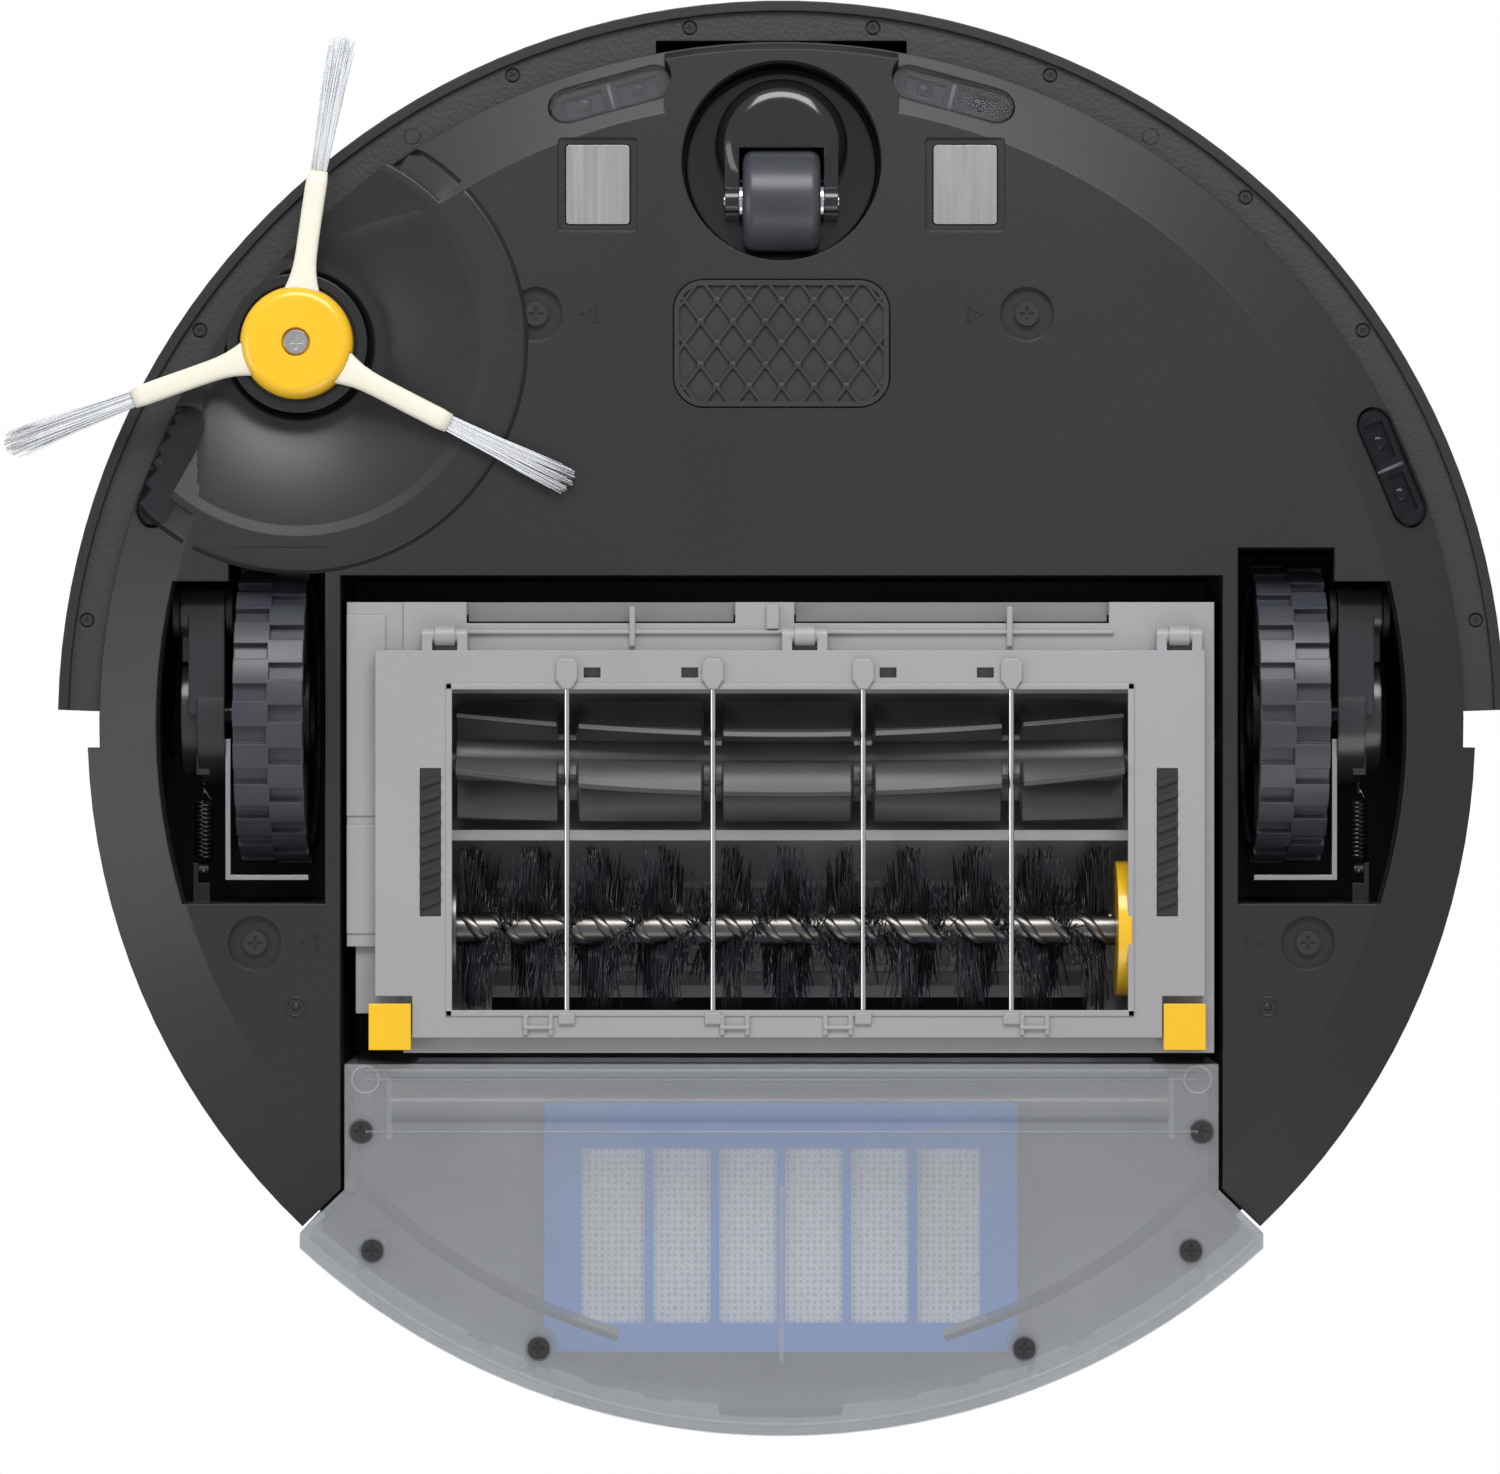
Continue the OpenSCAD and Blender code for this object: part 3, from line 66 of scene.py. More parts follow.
class Sock:
    # wraps one output socket, so that maths on it reads as an expression
    def __init__(self, maker, socket):
        self.maker = maker
        self.socket = socket

    def maths(self, operation, *values, clamp=False):
        return self.maker.add("Math", {"operation": operation, "use_clamp": clamp}, *values)

    def __add__(self, other):
        return self.maths("ADD", self, other)

    def __radd__(self, other):
        return self.maths("ADD", other, self)

    def __sub__(self, other):
        return self.maths("SUBTRACT", self, other)

    def __rsub__(self, other):
        return self.maths("SUBTRACT", other, self)

    def __mul__(self, other):
        return self.maths("MULTIPLY", self, other)

    def __rmul__(self, other):
        return self.maths("MULTIPLY", other, self)

    def __truediv__(self, other):
        return self.maths("DIVIDE", self, other)

    def above(self, edge, soft=0.001):
        # 0 below the edge and 1 above it, with a soft step between
        return self.maths("MULTIPLY", self - (edge - soft), 0.5 / soft, clamp=True)


class Finish:
    # one material's nodes
    def __init__(self, name):
        self.material = bpy.data.materials.new(name)
        self.material.use_nodes = True
        self.tree = self.material.node_tree
        self.tree.nodes.clear()
        self.output = self.tree.nodes.new("ShaderNodeOutputMaterial")

    def add(self, kind, settings=None, *values, out=0, **named):
        node = self.tree.nodes.new("ShaderNode" + kind)
        for key, value in (settings or {}).items():
            if key == "stops":
                ramp = node.color_ramp
                while len(ramp.elements) < len(value):
                    ramp.elements.new(0.5)
                for element, (place, colour) in zip(ramp.elements, value):
                    element.position = place
                    element.color = (*colour, 1) if len(colour) == 3 else colour
            else:
                setattr(node, key, value)
        for index, value in enumerate(values):
            self.plug(node.inputs[index], value)
        for key, value in named.items():
            self.plug(node.inputs[key.replace("_", " ")], value)
        return Sock(self, node.outputs[out])

    def plug(self, entry, value):
        if isinstance(value, Sock):
            self.tree.links.new(value.socket, entry)
        elif value is not None:
            if entry.type == "RGBA" and len(value) == 3:
                value = (*value, 1)
            entry.default_value = value

    def place(self, scale=1.0, stretch=(1, 1, 1)):
        # object coordinates, in metres times scale
        coords = self.add("TexCoord", out=3)
        size = [scale * s for s in stretch]
        return self.add("Mapping", None, coords, Scale=size)

    def noise(self, scale, detail=3.0, rough=0.5, stretch=(1, 1, 1)):
        return self.add("TexNoise", None, Vector=self.place(1, stretch), Scale=scale, Detail=detail,
            Roughness=rough)

    def grain(self, scale, stretch=(1, 1, 1)):
        return self.add("TexVoronoi", None, Vector=self.place(1, stretch), Scale=scale)

    def blendColours(self, factor, first, second):
        node = self.tree.nodes.new("ShaderNodeMix")
        node.data_type = "RGBA"
        self.plug(node.inputs[0], factor)
        self.plug(node.inputs[6], first)
        self.plug(node.inputs[7], second)
        return Sock(self, node.outputs[2])

    def rounded(self, radius):
        # catches light along edges, as moulded ones do
        return self.add("Bevel", {"samples": 4}, Radius=radius)

    def bump(self, height, depth, strength=1.0, normal=None):
        named = {"Height": height, "Distance": depth, "Strength": strength}
        if normal is not None:
            named["Normal"] = normal
        return self.add("Bump", None, **named)

    def surface(self, **named):
        shader = self.add("BsdfPrincipled", None, **named)
        self.tree.links.new(shader.socket, self.output.inputs["Surface"])
        return self.material


def plasticFinish(name, look):
    # moulded plastic: a fine grain, slow patches in its gloss, and softened edges
    f = Finish(name)
    patches = f.noise(look.get("patchScale", 18), 3)
    fine = f.noise(look["grainScale"], 2)
    tint = f.blendColours(patches, [c * 0.9 for c in look["colour"]], [c * 1.1 for c in look["colour"]])
    rough = look["rough"] + (patches - 0.5) * look.get("roughSpread", 0.12)
    edge = f.rounded(look.get("edge", 0.35 * mm))
    normal = f.bump(fine, look["grainDepth"], look.get("grainStrength", 1.0), edge)
    return f.surface(Base_Color=tint, Roughness=rough, Normal=normal,
                     Coat_Weight=look.get("coat", 0.0), Coat_Roughness=look.get("coatRough", 0.1),
                     Specular_IOR_Level=look.get("specular", 0.5))


def leatherFinish(name, look):
    # pebbled grain, as on the bumper's rim
    f = Finish(name)
    pebbles = f.grain(look["pebbleScale"])
    fine = f.noise(look["pebbleScale"] * 2.2, 3)
    patches = f.noise(14, 2)
    height = pebbles * 0.7 + fine * 0.3
    tint = f.blendColours(patches, [c * 0.9 for c in look["colour"]],
        [c * 1.12 for c in look["colour"]])
    normal = f.bump(height, look["grainDepth"], 0.8, f.rounded(look["edge"]))
    return f.surface(Base_Color=tint, Roughness=look["rough"] + (patches - 0.5) * 0.1, Normal=normal)


def metalFinish(name, look):
    # drawn or brushed steel, with streaks along one axis
    f = Finish(name)
    streaks = f.noise(look["streakScale"], 4, 0.6, look["along"])
    slow = f.noise(30, 2)
    tint = f.blendColours(streaks, [c * 0.82 for c in look["colour"]], look["colour"])
    rough = look["rough"] + (streaks - 0.5) * 0.16 + (slow - 0.5) * 0.06
    normal = f.bump(streaks, look.get("depth", 0.01 * mm), 0.35, f.rounded(look.get("edge", 0.15 * mm)))
    return f.surface(Base_Color=tint, Metallic=1.0, Roughness=rough, Normal=normal)


def rubberFinish(name, look):
    # moulded rubber with faint dust and a soft sheen
    f = Finish(name)
    dust = f.noise(look.get("dustScale", 60), 5, 0.65)
    fine = f.noise(1400, 2)
    tint = f.blendColours(dust, look["colour"], look["dusty"])
    rough = look["rough"] + (dust - 0.5) * 0.2
    normal = f.bump(fine + dust * 0.5, 0.03 * mm, 0.7, f.rounded(look.get("edge", 0.3 * mm)))
    return f.surface(Base_Color=tint, Roughness=rough, Normal=normal,
        Sheen_Weight=look.get("sheen", 0.0))


def clearFinish(name, look):
    # see-through plastic: part of the light goes straight through, the rest meets a glossy face
    f = Finish(name)
    haze = f.noise(look.get("hazeScale", 22), 3)
    scuffs = f.noise(260, 3, 0.6, (1, 3, 1))
    tint = f.blendColours(haze, [c * 0.92 for c in look["colour"]], look["colour"])
    rough = look["rough"] + (scuffs - 0.5) * 0.08
    face = f.add("BsdfPrincipled", None, Base_Color=tint, Roughness=rough,
                 Normal=f.bump(scuffs, 0.004 * mm, 0.3, f.rounded(0.4 * mm)))
    through = f.add("BsdfTransparent", None, Color=look["through"])
    body = look["solid"] + (haze - 0.5) * 0.06
    mixed = f.add("MixShader", None, body, through, face)
    f.tree.links.new(mixed.socket, f.output.inputs["Surface"])
    return f.material


plasticLooks = {
    "charcoalShell": {"colour": (0.017, 0.017, 0.0175), "rough": 0.4, "grainScale": 2600,
        "grainDepth": 0.02 * mm, "edge": 0.5 * mm},
    "dishShell": {"colour": (0.017, 0.017, 0.0175), "rough": 0.36, "grainScale": 2600,
        "grainDepth": 0.02 * mm, "edge": 0.03 * mm},
    "blackShell": {"colour": (0.012, 0.012, 0.013), "rough": 0.5, "grainScale": 1800,
        "grainDepth": 0.02 * mm},
    "glossBlack": {"colour": (0.012, 0.012, 0.014), "rough": 0.16, "grainScale": 500,
        "grainDepth": 0.004 * mm, "coat": 0.4, "roughSpread": 0.06, "edge": 0.6 * mm},
    "greyFrame": {"colour": (0.34, 0.34, 0.35), "rough": 0.42, "grainScale": 2200,
        "grainDepth": 0.015 * mm, "edge": 0.4 * mm},
    # a darker copy of greyFrame; on the head's sunk panels it is painted shade
    "greyDeep": {"colour": (0.2, 0.2, 0.205), "rough": 0.5, "grainScale": 2200,
        "grainDepth": 0.015 * mm, "edge": 0.4 * mm},
    "yellowPlastic": {"colour": (0.9, 0.52, 0.012), "rough": 0.24, "grainScale": 600,
        "grainDepth": 0.004 * mm, "coat": 0.3, "roughSpread": 0.06, "edge": 0.6 * mm},
    "creamPlastic": {"colour": (0.83, 0.79, 0.66), "rough": 0.42, "grainScale": 900,
        "grainDepth": 0.01 * mm, "edge": 0.5 * mm},
    "blackScrew": {"colour": (0.022, 0.022, 0.023), "rough": 0.32, "grainScale": 1500,
        "grainDepth": 0.006 * mm, "edge": 0.12 * mm, "coat": 0.3},
    "filterBlue": {"colour": (0.08, 0.3, 0.85), "rough": 0.4, "grainScale": 1200,
        "grainDepth": 0.01 * mm},
    "batteryWrap": {"colour": (0.55, 0.36, 0.04), "rough": 0.45, "grainScale": 900,
        "grainDepth": 0.01 * mm},
    "boardGreen": {"colour": (0.02, 0.12, 0.05), "rough": 0.4, "grainScale": 1500,
        "grainDepth": 0.01 * mm},
    "gearBlack": {"colour": (0.03, 0.031, 0.036), "rough": 0.26, "grainScale": 700,
        "grainDepth": 0.006 * mm, "coat": 0.3, "roughSpread": 0.06, "edge": 0.6 * mm},
    "silverButton": {"colour": (0.42, 0.42, 0.43), "rough": 0.3, "grainScale": 2400,
        "grainDepth": 0.006 * mm, "coat": 0.3},
    "panelBlack": {"colour": (0.014, 0.014, 0.015), "rough": 0.12, "grainScale": 400,
        "grainDepth": 0.003 * mm, "coat": 0.6, "roughSpread": 0.05},
}
finishes = {name: plasticFinish(name, look) for name, look in plasticLooks.items()}
finishes["rimLeather"] = leatherFinish("rimLeather",
    {"colour": (0.03, 0.03, 0.031), "rough": 0.46, "pebbleScale": 900, "grainDepth": 0.12 * mm,
    "edge": 0.5 * mm})
finishes["contactSteel"] = metalFinish("contactSteel",
    {"colour": (0.62, 0.62, 0.63), "rough": 0.3, "streakScale": 900, "along": (1, 0.03, 1)})
finishes["brightSteel"] = metalFinish("brightSteel",
    {"colour": (0.75, 0.75, 0.76), "rough": 0.16, "streakScale": 700, "along": (1, 0.05, 1)})
finishes["darkSteel"] = metalFinish("darkSteel",
    {"colour": (0.2, 0.19, 0.18), "rough": 0.3, "streakScale": 700, "along": (0.1, 1, 1)})
finishes["treadRubber"] = rubberFinish("treadRubber",
    {"colour": (0.03, 0.033, 0.043), "dusty": (0.06, 0.063, 0.075), "rough": 0.34, "edge": 0.5 * mm})
finishes["padRubber"] = rubberFinish("padRubber",
    {"colour": (0.014, 0.014, 0.015), "dusty": (0.03, 0.03, 0.031), "rough": 0.5, "edge": 0.15 * mm})
finishes["flapRubber"] = rubberFinish("flapRubber",
    {"colour": (0.045, 0.042, 0.04), "dusty": (0.085, 0.08, 0.076), "rough": 0.42, "edge": 0.3 * mm})
finishes["blackBristle"] = rubberFinish("blackBristle",
    {"colour": (0.012, 0.013, 0.017), "dusty": (0.035, 0.037, 0.045), "rough": 0.25, "edge": 0.05 * mm,
    "dustScale": 300})
finishes["whiteBristle"] = rubberFinish("whiteBristle",
    {"colour": (0.62, 0.64, 0.67), "dusty": (0.85, 0.86, 0.88), "rough": 0.3, "edge": 0.05 * mm,
    "dustScale": 300})
finishes["clearLens"] = clearFinish("clearLens",
    {"colour": (0.012, 0.012, 0.013), "through": (0.85, 0.87, 0.9), "solid": 0.14, "rough": 0.1})
finishes["smokedClear"] = clearFinish("smokedClear",
    {"colour": (0.66, 0.67, 0.68), "through": (0.93, 0.94, 0.95), "solid": 0.22, "rough": 0.12})
# a darker copy of the smoked plastic: painted shade for the bin's inner walls seen edge on
finishes["smokedWallShade"] = clearFinish("smokedWallShade",
    {"colour": (0.03, 0.03, 0.032), "through": (0.5, 0.52, 0.54), "solid": 0.6, "rough": 0.15})
finishes["smokedTub"] = clearFinish("smokedTub",
    {"colour": (0.42, 0.43, 0.44), "through": (0.8, 0.82, 0.84), "solid": 0.55, "rough": 0.2})


def paperFinish():
    # pleated filter paper with rows of pressed dots
    f = Finish("filterPaper")
    dots = f.add("TexVoronoi", None, Vector=f.place(1, (1, 1, 0.01)), Scale=620.0, Randomness=0.15)
    fibres = f.noise(900, 4)
    pits = dots.above(0.32, 0.08)
    tint = f.blendColours(pits, (0.62, 0.64, 0.65), (0.88, 0.89, 0.9))
    return f.surface(Base_Color=tint, Roughness=0.8 + (fibres - 0.5) * 0.1,
                     Normal=f.bump(pits + fibres * 0.4, 0.15 * mm, 0.8))


finishes["filterPaper"] = paperFinish()
print("finishes made")

nodeFinish = {
    "bottom_cover": "charcoalShell", "chassis_tub": "blackShell", "top_cover": "charcoalShell",
    "top_panel": "panelBlack",
    "texture_pad": "padRubber", "cover_screws": "blackScrew", "charge_contacts": "contactSteel",
    "cliff_windows": "clearLens", "cliff_sensors": "blackShell", "battery": "batteryWrap",
    "main_board": "boardGreen",
    "side_brush_gearbox": "glossBlack", "left_spring": "darkSteel", "right_spring": "darkSteel",
    "bumper_shell": "charcoalShell", "bumper_rim": "rimLeather", "bumper_screws": "blackScrew",
    "bumper_window": "panelBlack", "sensor_dome": "panelBlack",
    "left_gearbox": "gearBlack", "right_gearbox": "gearBlack", "left_bracket": "contactSteel",
    "right_bracket": "contactSteel",
    "left_rim": "blackShell", "right_rim": "blackShell", "left_tyre": "treadRubber",
    "right_tyre": "treadRubber",
    "caster_fork": "glossBlack", "caster_wheel": "treadRubber", "caster_axle": "brightSteel",
    "side_brush_hub": "yellowPlastic", "side_brush_arms": "creamPlastic",
    "side_brush_bristles": "whiteBristle",
    "side_brush_screw": "brightSteel", "head_frame": "greyFrame", "head_gearbox": "greyFrame",
    "head_motor": "darkSteel",
    "brush_guard": "greyFrame", "guard_wires": "brightSteel", "guard_pads": "padRubber",
    "left_latch": "yellowPlastic", "right_latch": "yellowPlastic",
    "bristle_core": "darkSteel", "bristle_tufts": "blackBristle", "bristle_end_cap": "yellowPlastic",
    "flapper_core": "flapRubber", "flapper_blades": "flapRubber",
    "bin_tub": "smokedTub", "bin_cover": "smokedClear", "bin_screws": "blackScrew",
    "filter_frame": "filterBlue",
    "filter_media": "filterPaper", "bin_fan": "blackShell", "bin_button": "blackShell",
    "handle": "charcoalShell", "clean_button": "silverButton", "spot_button": "silverButton",
    "dock_button": "silverButton",
}
for name, node in nodes.items():
    node.data.materials.clear()
    node.data.materials.append(finishes[nodeFinish[name]])


# Making pieces

def piece(name, mesh, finish, rides, replaces=(), smooth=True):
    if isinstance(mesh, bmesh.types.BMesh):
        data = bpy.data.meshes.new(name)
        bmesh.ops.recalc_face_normals(mesh, faces=mesh.faces)
        mesh.to_mesh(data)
        mesh.free()
        mesh = data
    thing = bpy.data.objects.new(name, mesh)
    bpy.context.scene.collection.objects.link(thing)
    mesh.materials.append(finishes[finish])
    if smooth and len(mesh.polygons):
        mesh.shade_smooth()
    if rides:
        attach(thing, rides)
    if replaces:
        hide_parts(*replaces)
    return thing


def softEdges(thing, width, segments=2, angle=30):
    bevel = thing.modifiers.new("edges", "BEVEL")
    bevel.width = width
    bevel.segments = segments
    bevel.limit_method = "ANGLE"
    bevel.angle_limit = math.radians(angle)
    return thing


def ring(bm, centre, across, up, halfWidth, halfHeight, sides, squareness=1.0):
    # one loop of a tube: an ellipse, drawn towards a rectangle as squareness falls
    loop = []
    for i in range(sides):
        a = 2 * math.pi * (i + 0.5) / sides
        c, s = math.cos(a), math.sin(a)
        x = math.copysign(abs(c) ** squareness, c)
        y = math.copysign(abs(s) ** squareness, s)
        loop.append(bm.verts.new(centre + across * (x * halfWidth) + up * (y * halfHeight)))
    return loop


def bridge(bm, first, second):
    for i in range(len(first)):
        j = (i + 1) % len(first)
        bm.faces.new((first[i], first[j], second[j], second[i]))


def tube(bm, path, sizes, sides=8, up=Vector((0, 0, 1)), squareness=1.0):
    # a closed tube along path; sizes gives (half width, half height) at each point
    loops = []
    for i, point in enumerate(path):
        ahead = path[min(i + 1, len(path) - 1)] - path[max(i - 1, 0)]
        ahead.normalize()
        across = ahead.cross(up)
        if across.length < 1e-6:
            across = ahead.cross(Vector((1, 0, 0)))
        across.normalize()
        rise = across.cross(ahead).normalized()
        width, height = sizes[i] if isinstance(sizes, list) else sizes
        loops.append(ring(bm, point, across, rise, width, height, sides, squareness))
    for first, second in zip(loops, loops[1:]):
        bridge(bm, first, second)
    bm.faces.new(loops[0][::-1])
    bm.faces.new(loops[-1])


def box(bm, low, high):
    corners = [bm.verts.new((x, y, z)) for x in (low[0], high[0]) for y in (low[1],
        high[1]) for z in (low[2], high[2])]
    for face in ((0, 1, 3, 2), (4, 6, 7, 5), (0, 4, 5, 1), (2, 3, 7, 6), (0, 2, 6, 4), (1, 5, 7, 3)):
        bm.faces.new([corners[i] for i in face])


def slab(bm, outline, z0, z1):
    # a flat plate of any outline, from z0 up to z1
    low = [bm.verts.new((x, y, z0)) for x, y in outline]
    high = [bm.verts.new((x, y, z1)) for x, y in outline]
    bridge(bm, low, high)
    bm.faces.new(low[::-1])
    bm.faces.new(high)


def dome(bm, centre, radius, height, sides=16, rings=4):
    # a shallow cap that bulges down towards the floor
    loops = []
    for k in range(rings):
        a = 0.5 * math.pi * k / rings
        r, drop = radius * math.cos(a), height * math.sin(a)
        loops.append([bm.verts.new((centre[0] + r * math.cos(2 * math.pi * i / sides),
                                    centre[1] + r * math.sin(2 * math.pi * i / sides), centre[2] - drop))
                      for i in range(sides)])
    for first, second in zip(loops, loops[1:]):
        bridge(bm, first, second)
    tip = bm.verts.new((centre[0], centre[1], centre[2] - height))
    last = loops[-1]
    for i in range(sides):
        bm.faces.new((last[i], last[(i + 1) % sides], tip))
    bm.faces.new(loops[0][::-1])


# Camera, light and floor

cameraView = {
    "aim": (-7.5 * mm, 3.1 * mm),  # point on the underside that the view is centred on
    "distance": 1.5,               # below the underside
    "width": 356.7 * mm,           # width of the view at the underside
    "sensor": 36.0,
}


def makeCamera():
    data = bpy.data.cameras.new("camera")
    data.sensor_width = cameraView["sensor"]
    data.lens = cameraView["sensor"] * cameraView["distance"] / cameraView["width"]
    data.clip_start = 0.01
    camera = bpy.data.objects.new("camera", data)
    bpy.context.scene.collection.objects.link(camera)
    camera.location = (*cameraView["aim"], body["bellyHeight"] - cameraView["distance"])
    camera.rotation_euler = (math.pi, 0, 0)
    bpy.context.scene.camera = camera


def makeWorld():
    world = bpy.data.worlds.new("studio")
    bpy.context.scene.world = world
    world.use_nodes = True
    tree = world.node_tree
    tree.nodes.clear()
    output = tree.nodes.new("ShaderNodeOutputWorld")
    rays = tree.nodes.new("ShaderNodeLightPath")
    seen = tree.nodes.new("ShaderNodeBackground")
    seen.inputs["Color"].default_value = (1, 1, 1, 1)
    seen.inputs["Strength"].default_value = 1.0
    ambient = tree.nodes.new("ShaderNodeBackground")
    ambient.inputs["Color"].default_value = (0.97, 0.98, 1, 1)
    ambient.inputs["Strength"].default_value = 0.5
    anySeen = tree.nodes.new("ShaderNodeMath")
    anySeen.operation = "MAXIMUM"
    tree.links.new(rays.outputs["Is Camera Ray"], anySeen.inputs[0])
    tree.links.new(rays.outputs["Is Transmission Ray"], anySeen.inputs[1])
    mix = tree.nodes.new("ShaderNodeMixShader")
    tree.links.new(anySeen.outputs[0], mix.inputs[0])
    tree.links.new(ambient.outputs[0], mix.inputs[1])
    tree.links.new(seen.outputs[0], mix.inputs[2])
    tree.links.new(mix.outputs[0], output.inputs["Surface"])


lamps = {
    # name: place, aim, size across and down, watts
    "frontSoftbox": ((0.05, -0.85, -0.8), (0, -0.05, 0), (0.9, 0.5), 10.5),
    "rearFill": ((0.5, 1.3, -1.2), (0, 0, 0), (1.2, 0.8), 5),
    "sideFill": ((-1.4, 0.1, -0.9), (0, 0, 0), (0.8, 0.8), 5),
    "topSoftbox": ((-0.6, -0.6, 1.7), (0, 0, 0.05), (1.4, 1.0), 26),
    "topFill": ((0.9, 1.0, 1.3), (0, 0, 0.05), (1.0, 1.0), 12),
}


def makeLamps():
    for name, (place, aim, size, watts) in lamps.items():
        data = bpy.data.lights.new(name, "AREA")
        data.shape = "RECTANGLE"
        data.size, data.size_y = size
        data.energy = watts
        lamp = bpy.data.objects.new(name, data)
        bpy.context.scene.collection.objects.link(lamp)
        lamp.location = place
        lamp.rotation_euler = (Vector(aim) - Vector(place)).to_track_quat("-Z", "Y").to_euler()


def standPlane(name, corners, glow, shade):
    # shows only to the camera and only from its front, so that it never blocks light or the view from behind
    mesh = bpy.data.meshes.new(name)
    mesh.from_pydata(corners, [], [(0, 1, 2, 3)])
    plane = bpy.data.objects.new(name, mesh)
    bpy.context.scene.collection.objects.link(plane)
    f = Finish(name)
    lit = f.add("BsdfDiffuse", None, Color=(shade, shade, shade))
    glowing = f.add("Emission", None, Color=(1, 1, 1), Strength=glow)
    both = f.add("AddShader", None, lit, glowing)
    clear = f.add("BsdfTransparent", None, Color=(1, 1, 1))
    behind = f.add("NewGeometry", out=6)
    mixed = f.add("MixShader", None, behind, both, clear)
    f.tree.links.new(mixed.socket, f.output.inputs["Surface"])
    mesh.materials.append(f.material)
    for ray in ("diffuse", "glossy", "transmission", "volume_scatter", "shadow"):
        setattr(plane, "visible_" + ray, False)


bpy.context.scene.view_settings.view_transform = "Standard"
makeCamera()
makeWorld()
makeLamps()
standPlane("floor", [(-3, -3, 0), (3, -3, 0), (3, 3, 0), (-3, 3, 0)], 0.62, 0.8)
print("camera, lamps and floor made")


# Side brush

sideBrush = {
    # heading, and how far the tip bends sideways, in degrees and mm
    "arms": ((-84.0, 6.0), (28.8, -4.0), (161.6, -3.0)),
    "armTip": 41 * mm,
    "reach": 74 * mm,
    "fibres": 90,
    "fibreWidth": 0.19 * mm,
}


def makeSideBrush():
    low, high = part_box("side_brush_hub")
    centre = Vector(((low[0] + high[0]) / 2, (low[1] + high[1]) / 2, 0))
    armLow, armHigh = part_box("side_brush_arms")
    height = (armLow[2] + armHigh[2]) / 2
    rnd = random.Random(4)
    arms, tufts = bmesh.new(), bmesh.new()
    for heading, bend in sideBrush["arms"]:
        a = math.radians(heading)
        out, side = Vector((math.cos(a), math.sin(a), 0)), Vector((-math.sin(a), math.cos(a), 0))

        def along(r):
            t = max(0.0, (r - 14 * mm) / (60 * mm))
            return centre + out * r + side * (bend * mm * (t ** 1.6) * 0.55) + Vector((0, 0, height))

        path, sizes = [], []
        for i in range(15):
            t = i / 14
            r = 7 * mm + (sideBrush["armTip"] - 7 * mm) * t
            flare = 2.7 * mm * math.exp(-((r - 8 * mm) / (6.5 * mm)) ** 2)
            path.append(along(r))
            sizes.append((2.55 * mm + flare, 1.36 * mm))
        sizes[-1] = (2.3 * mm, 1.15 * mm)
        tube(arms, path, sizes, sides=16, squareness=0.7)
        for i in range(sideBrush["fibres"]):
            u = rnd.uniform(-1, 1)
            v = rnd.uniform(-1, 1)
            reach = sideBrush["reach"] - rnd.random() ** 2 * 5 * mm - abs(u) * 1.5 * mm
            fan = u * 1.75 * mm
            spread = u * 3.1 * mm + rnd.gauss(0, 0.25) * mm
            points = []
            for k in range(5):
                t = k / 4
                r = sideBrush["armTip"] - 3 * mm + (reach - sideBrush["armTip"] + 3 * mm) * t
                wave = rnd.gauss(0, 0.12) * mm * t
                points.append(along(r) + side * (fan + (spread - fan) * t ** 1.2 + wave) + Vector((0, 0,
                    v * 0.8 * mm * (0.6 + 0.4 * t))))
            w = sideBrush["fibreWidth"]
            tube(tufts, points, [(w, w), (w, w), (w * 0.95, w * 0.95), (w * 0.85, w * 0.85),
                (w * 0.5, w * 0.5)], sides=4)
    piece("sideBrushArms", arms, "creamPlastic", "side_brush", ("side_brush_arms",))
    piece("sideBrushFibres", tufts, "whiteBristle", "side_brush",
        ("side_brush_bristles",))


makeSideBrush()
print("side brush made")


# Floor brushes

bristleBrush = {
    "rows": 2,              # helical rows round the shaft
    "turnsPerHalf": 2.6,   # how far each row winds from the middle to an end
    "step": 0.8 * mm,       # between bunches along a row
    "perBunch": 8,
    "width": 0.2 * mm,
    "lean": 0.3,
    "lumpPitch": 7.8 * mm,
}


def wirePlaces():
    xs = sorted({round(v.co.x / mm, 1) for v in nodes["guard_wires"].data.vertices})
    groups = []
    for x in xs:
        if not groups or x - groups[-1][-1] > 5:
            groups.append([x])
        else:
            groups[-1].append(x)
    return [mm * (g[0] + g[-1]) / 2 for g in groups]


wireXs = wirePlaces()
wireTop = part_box("guard_wires")[1][2]


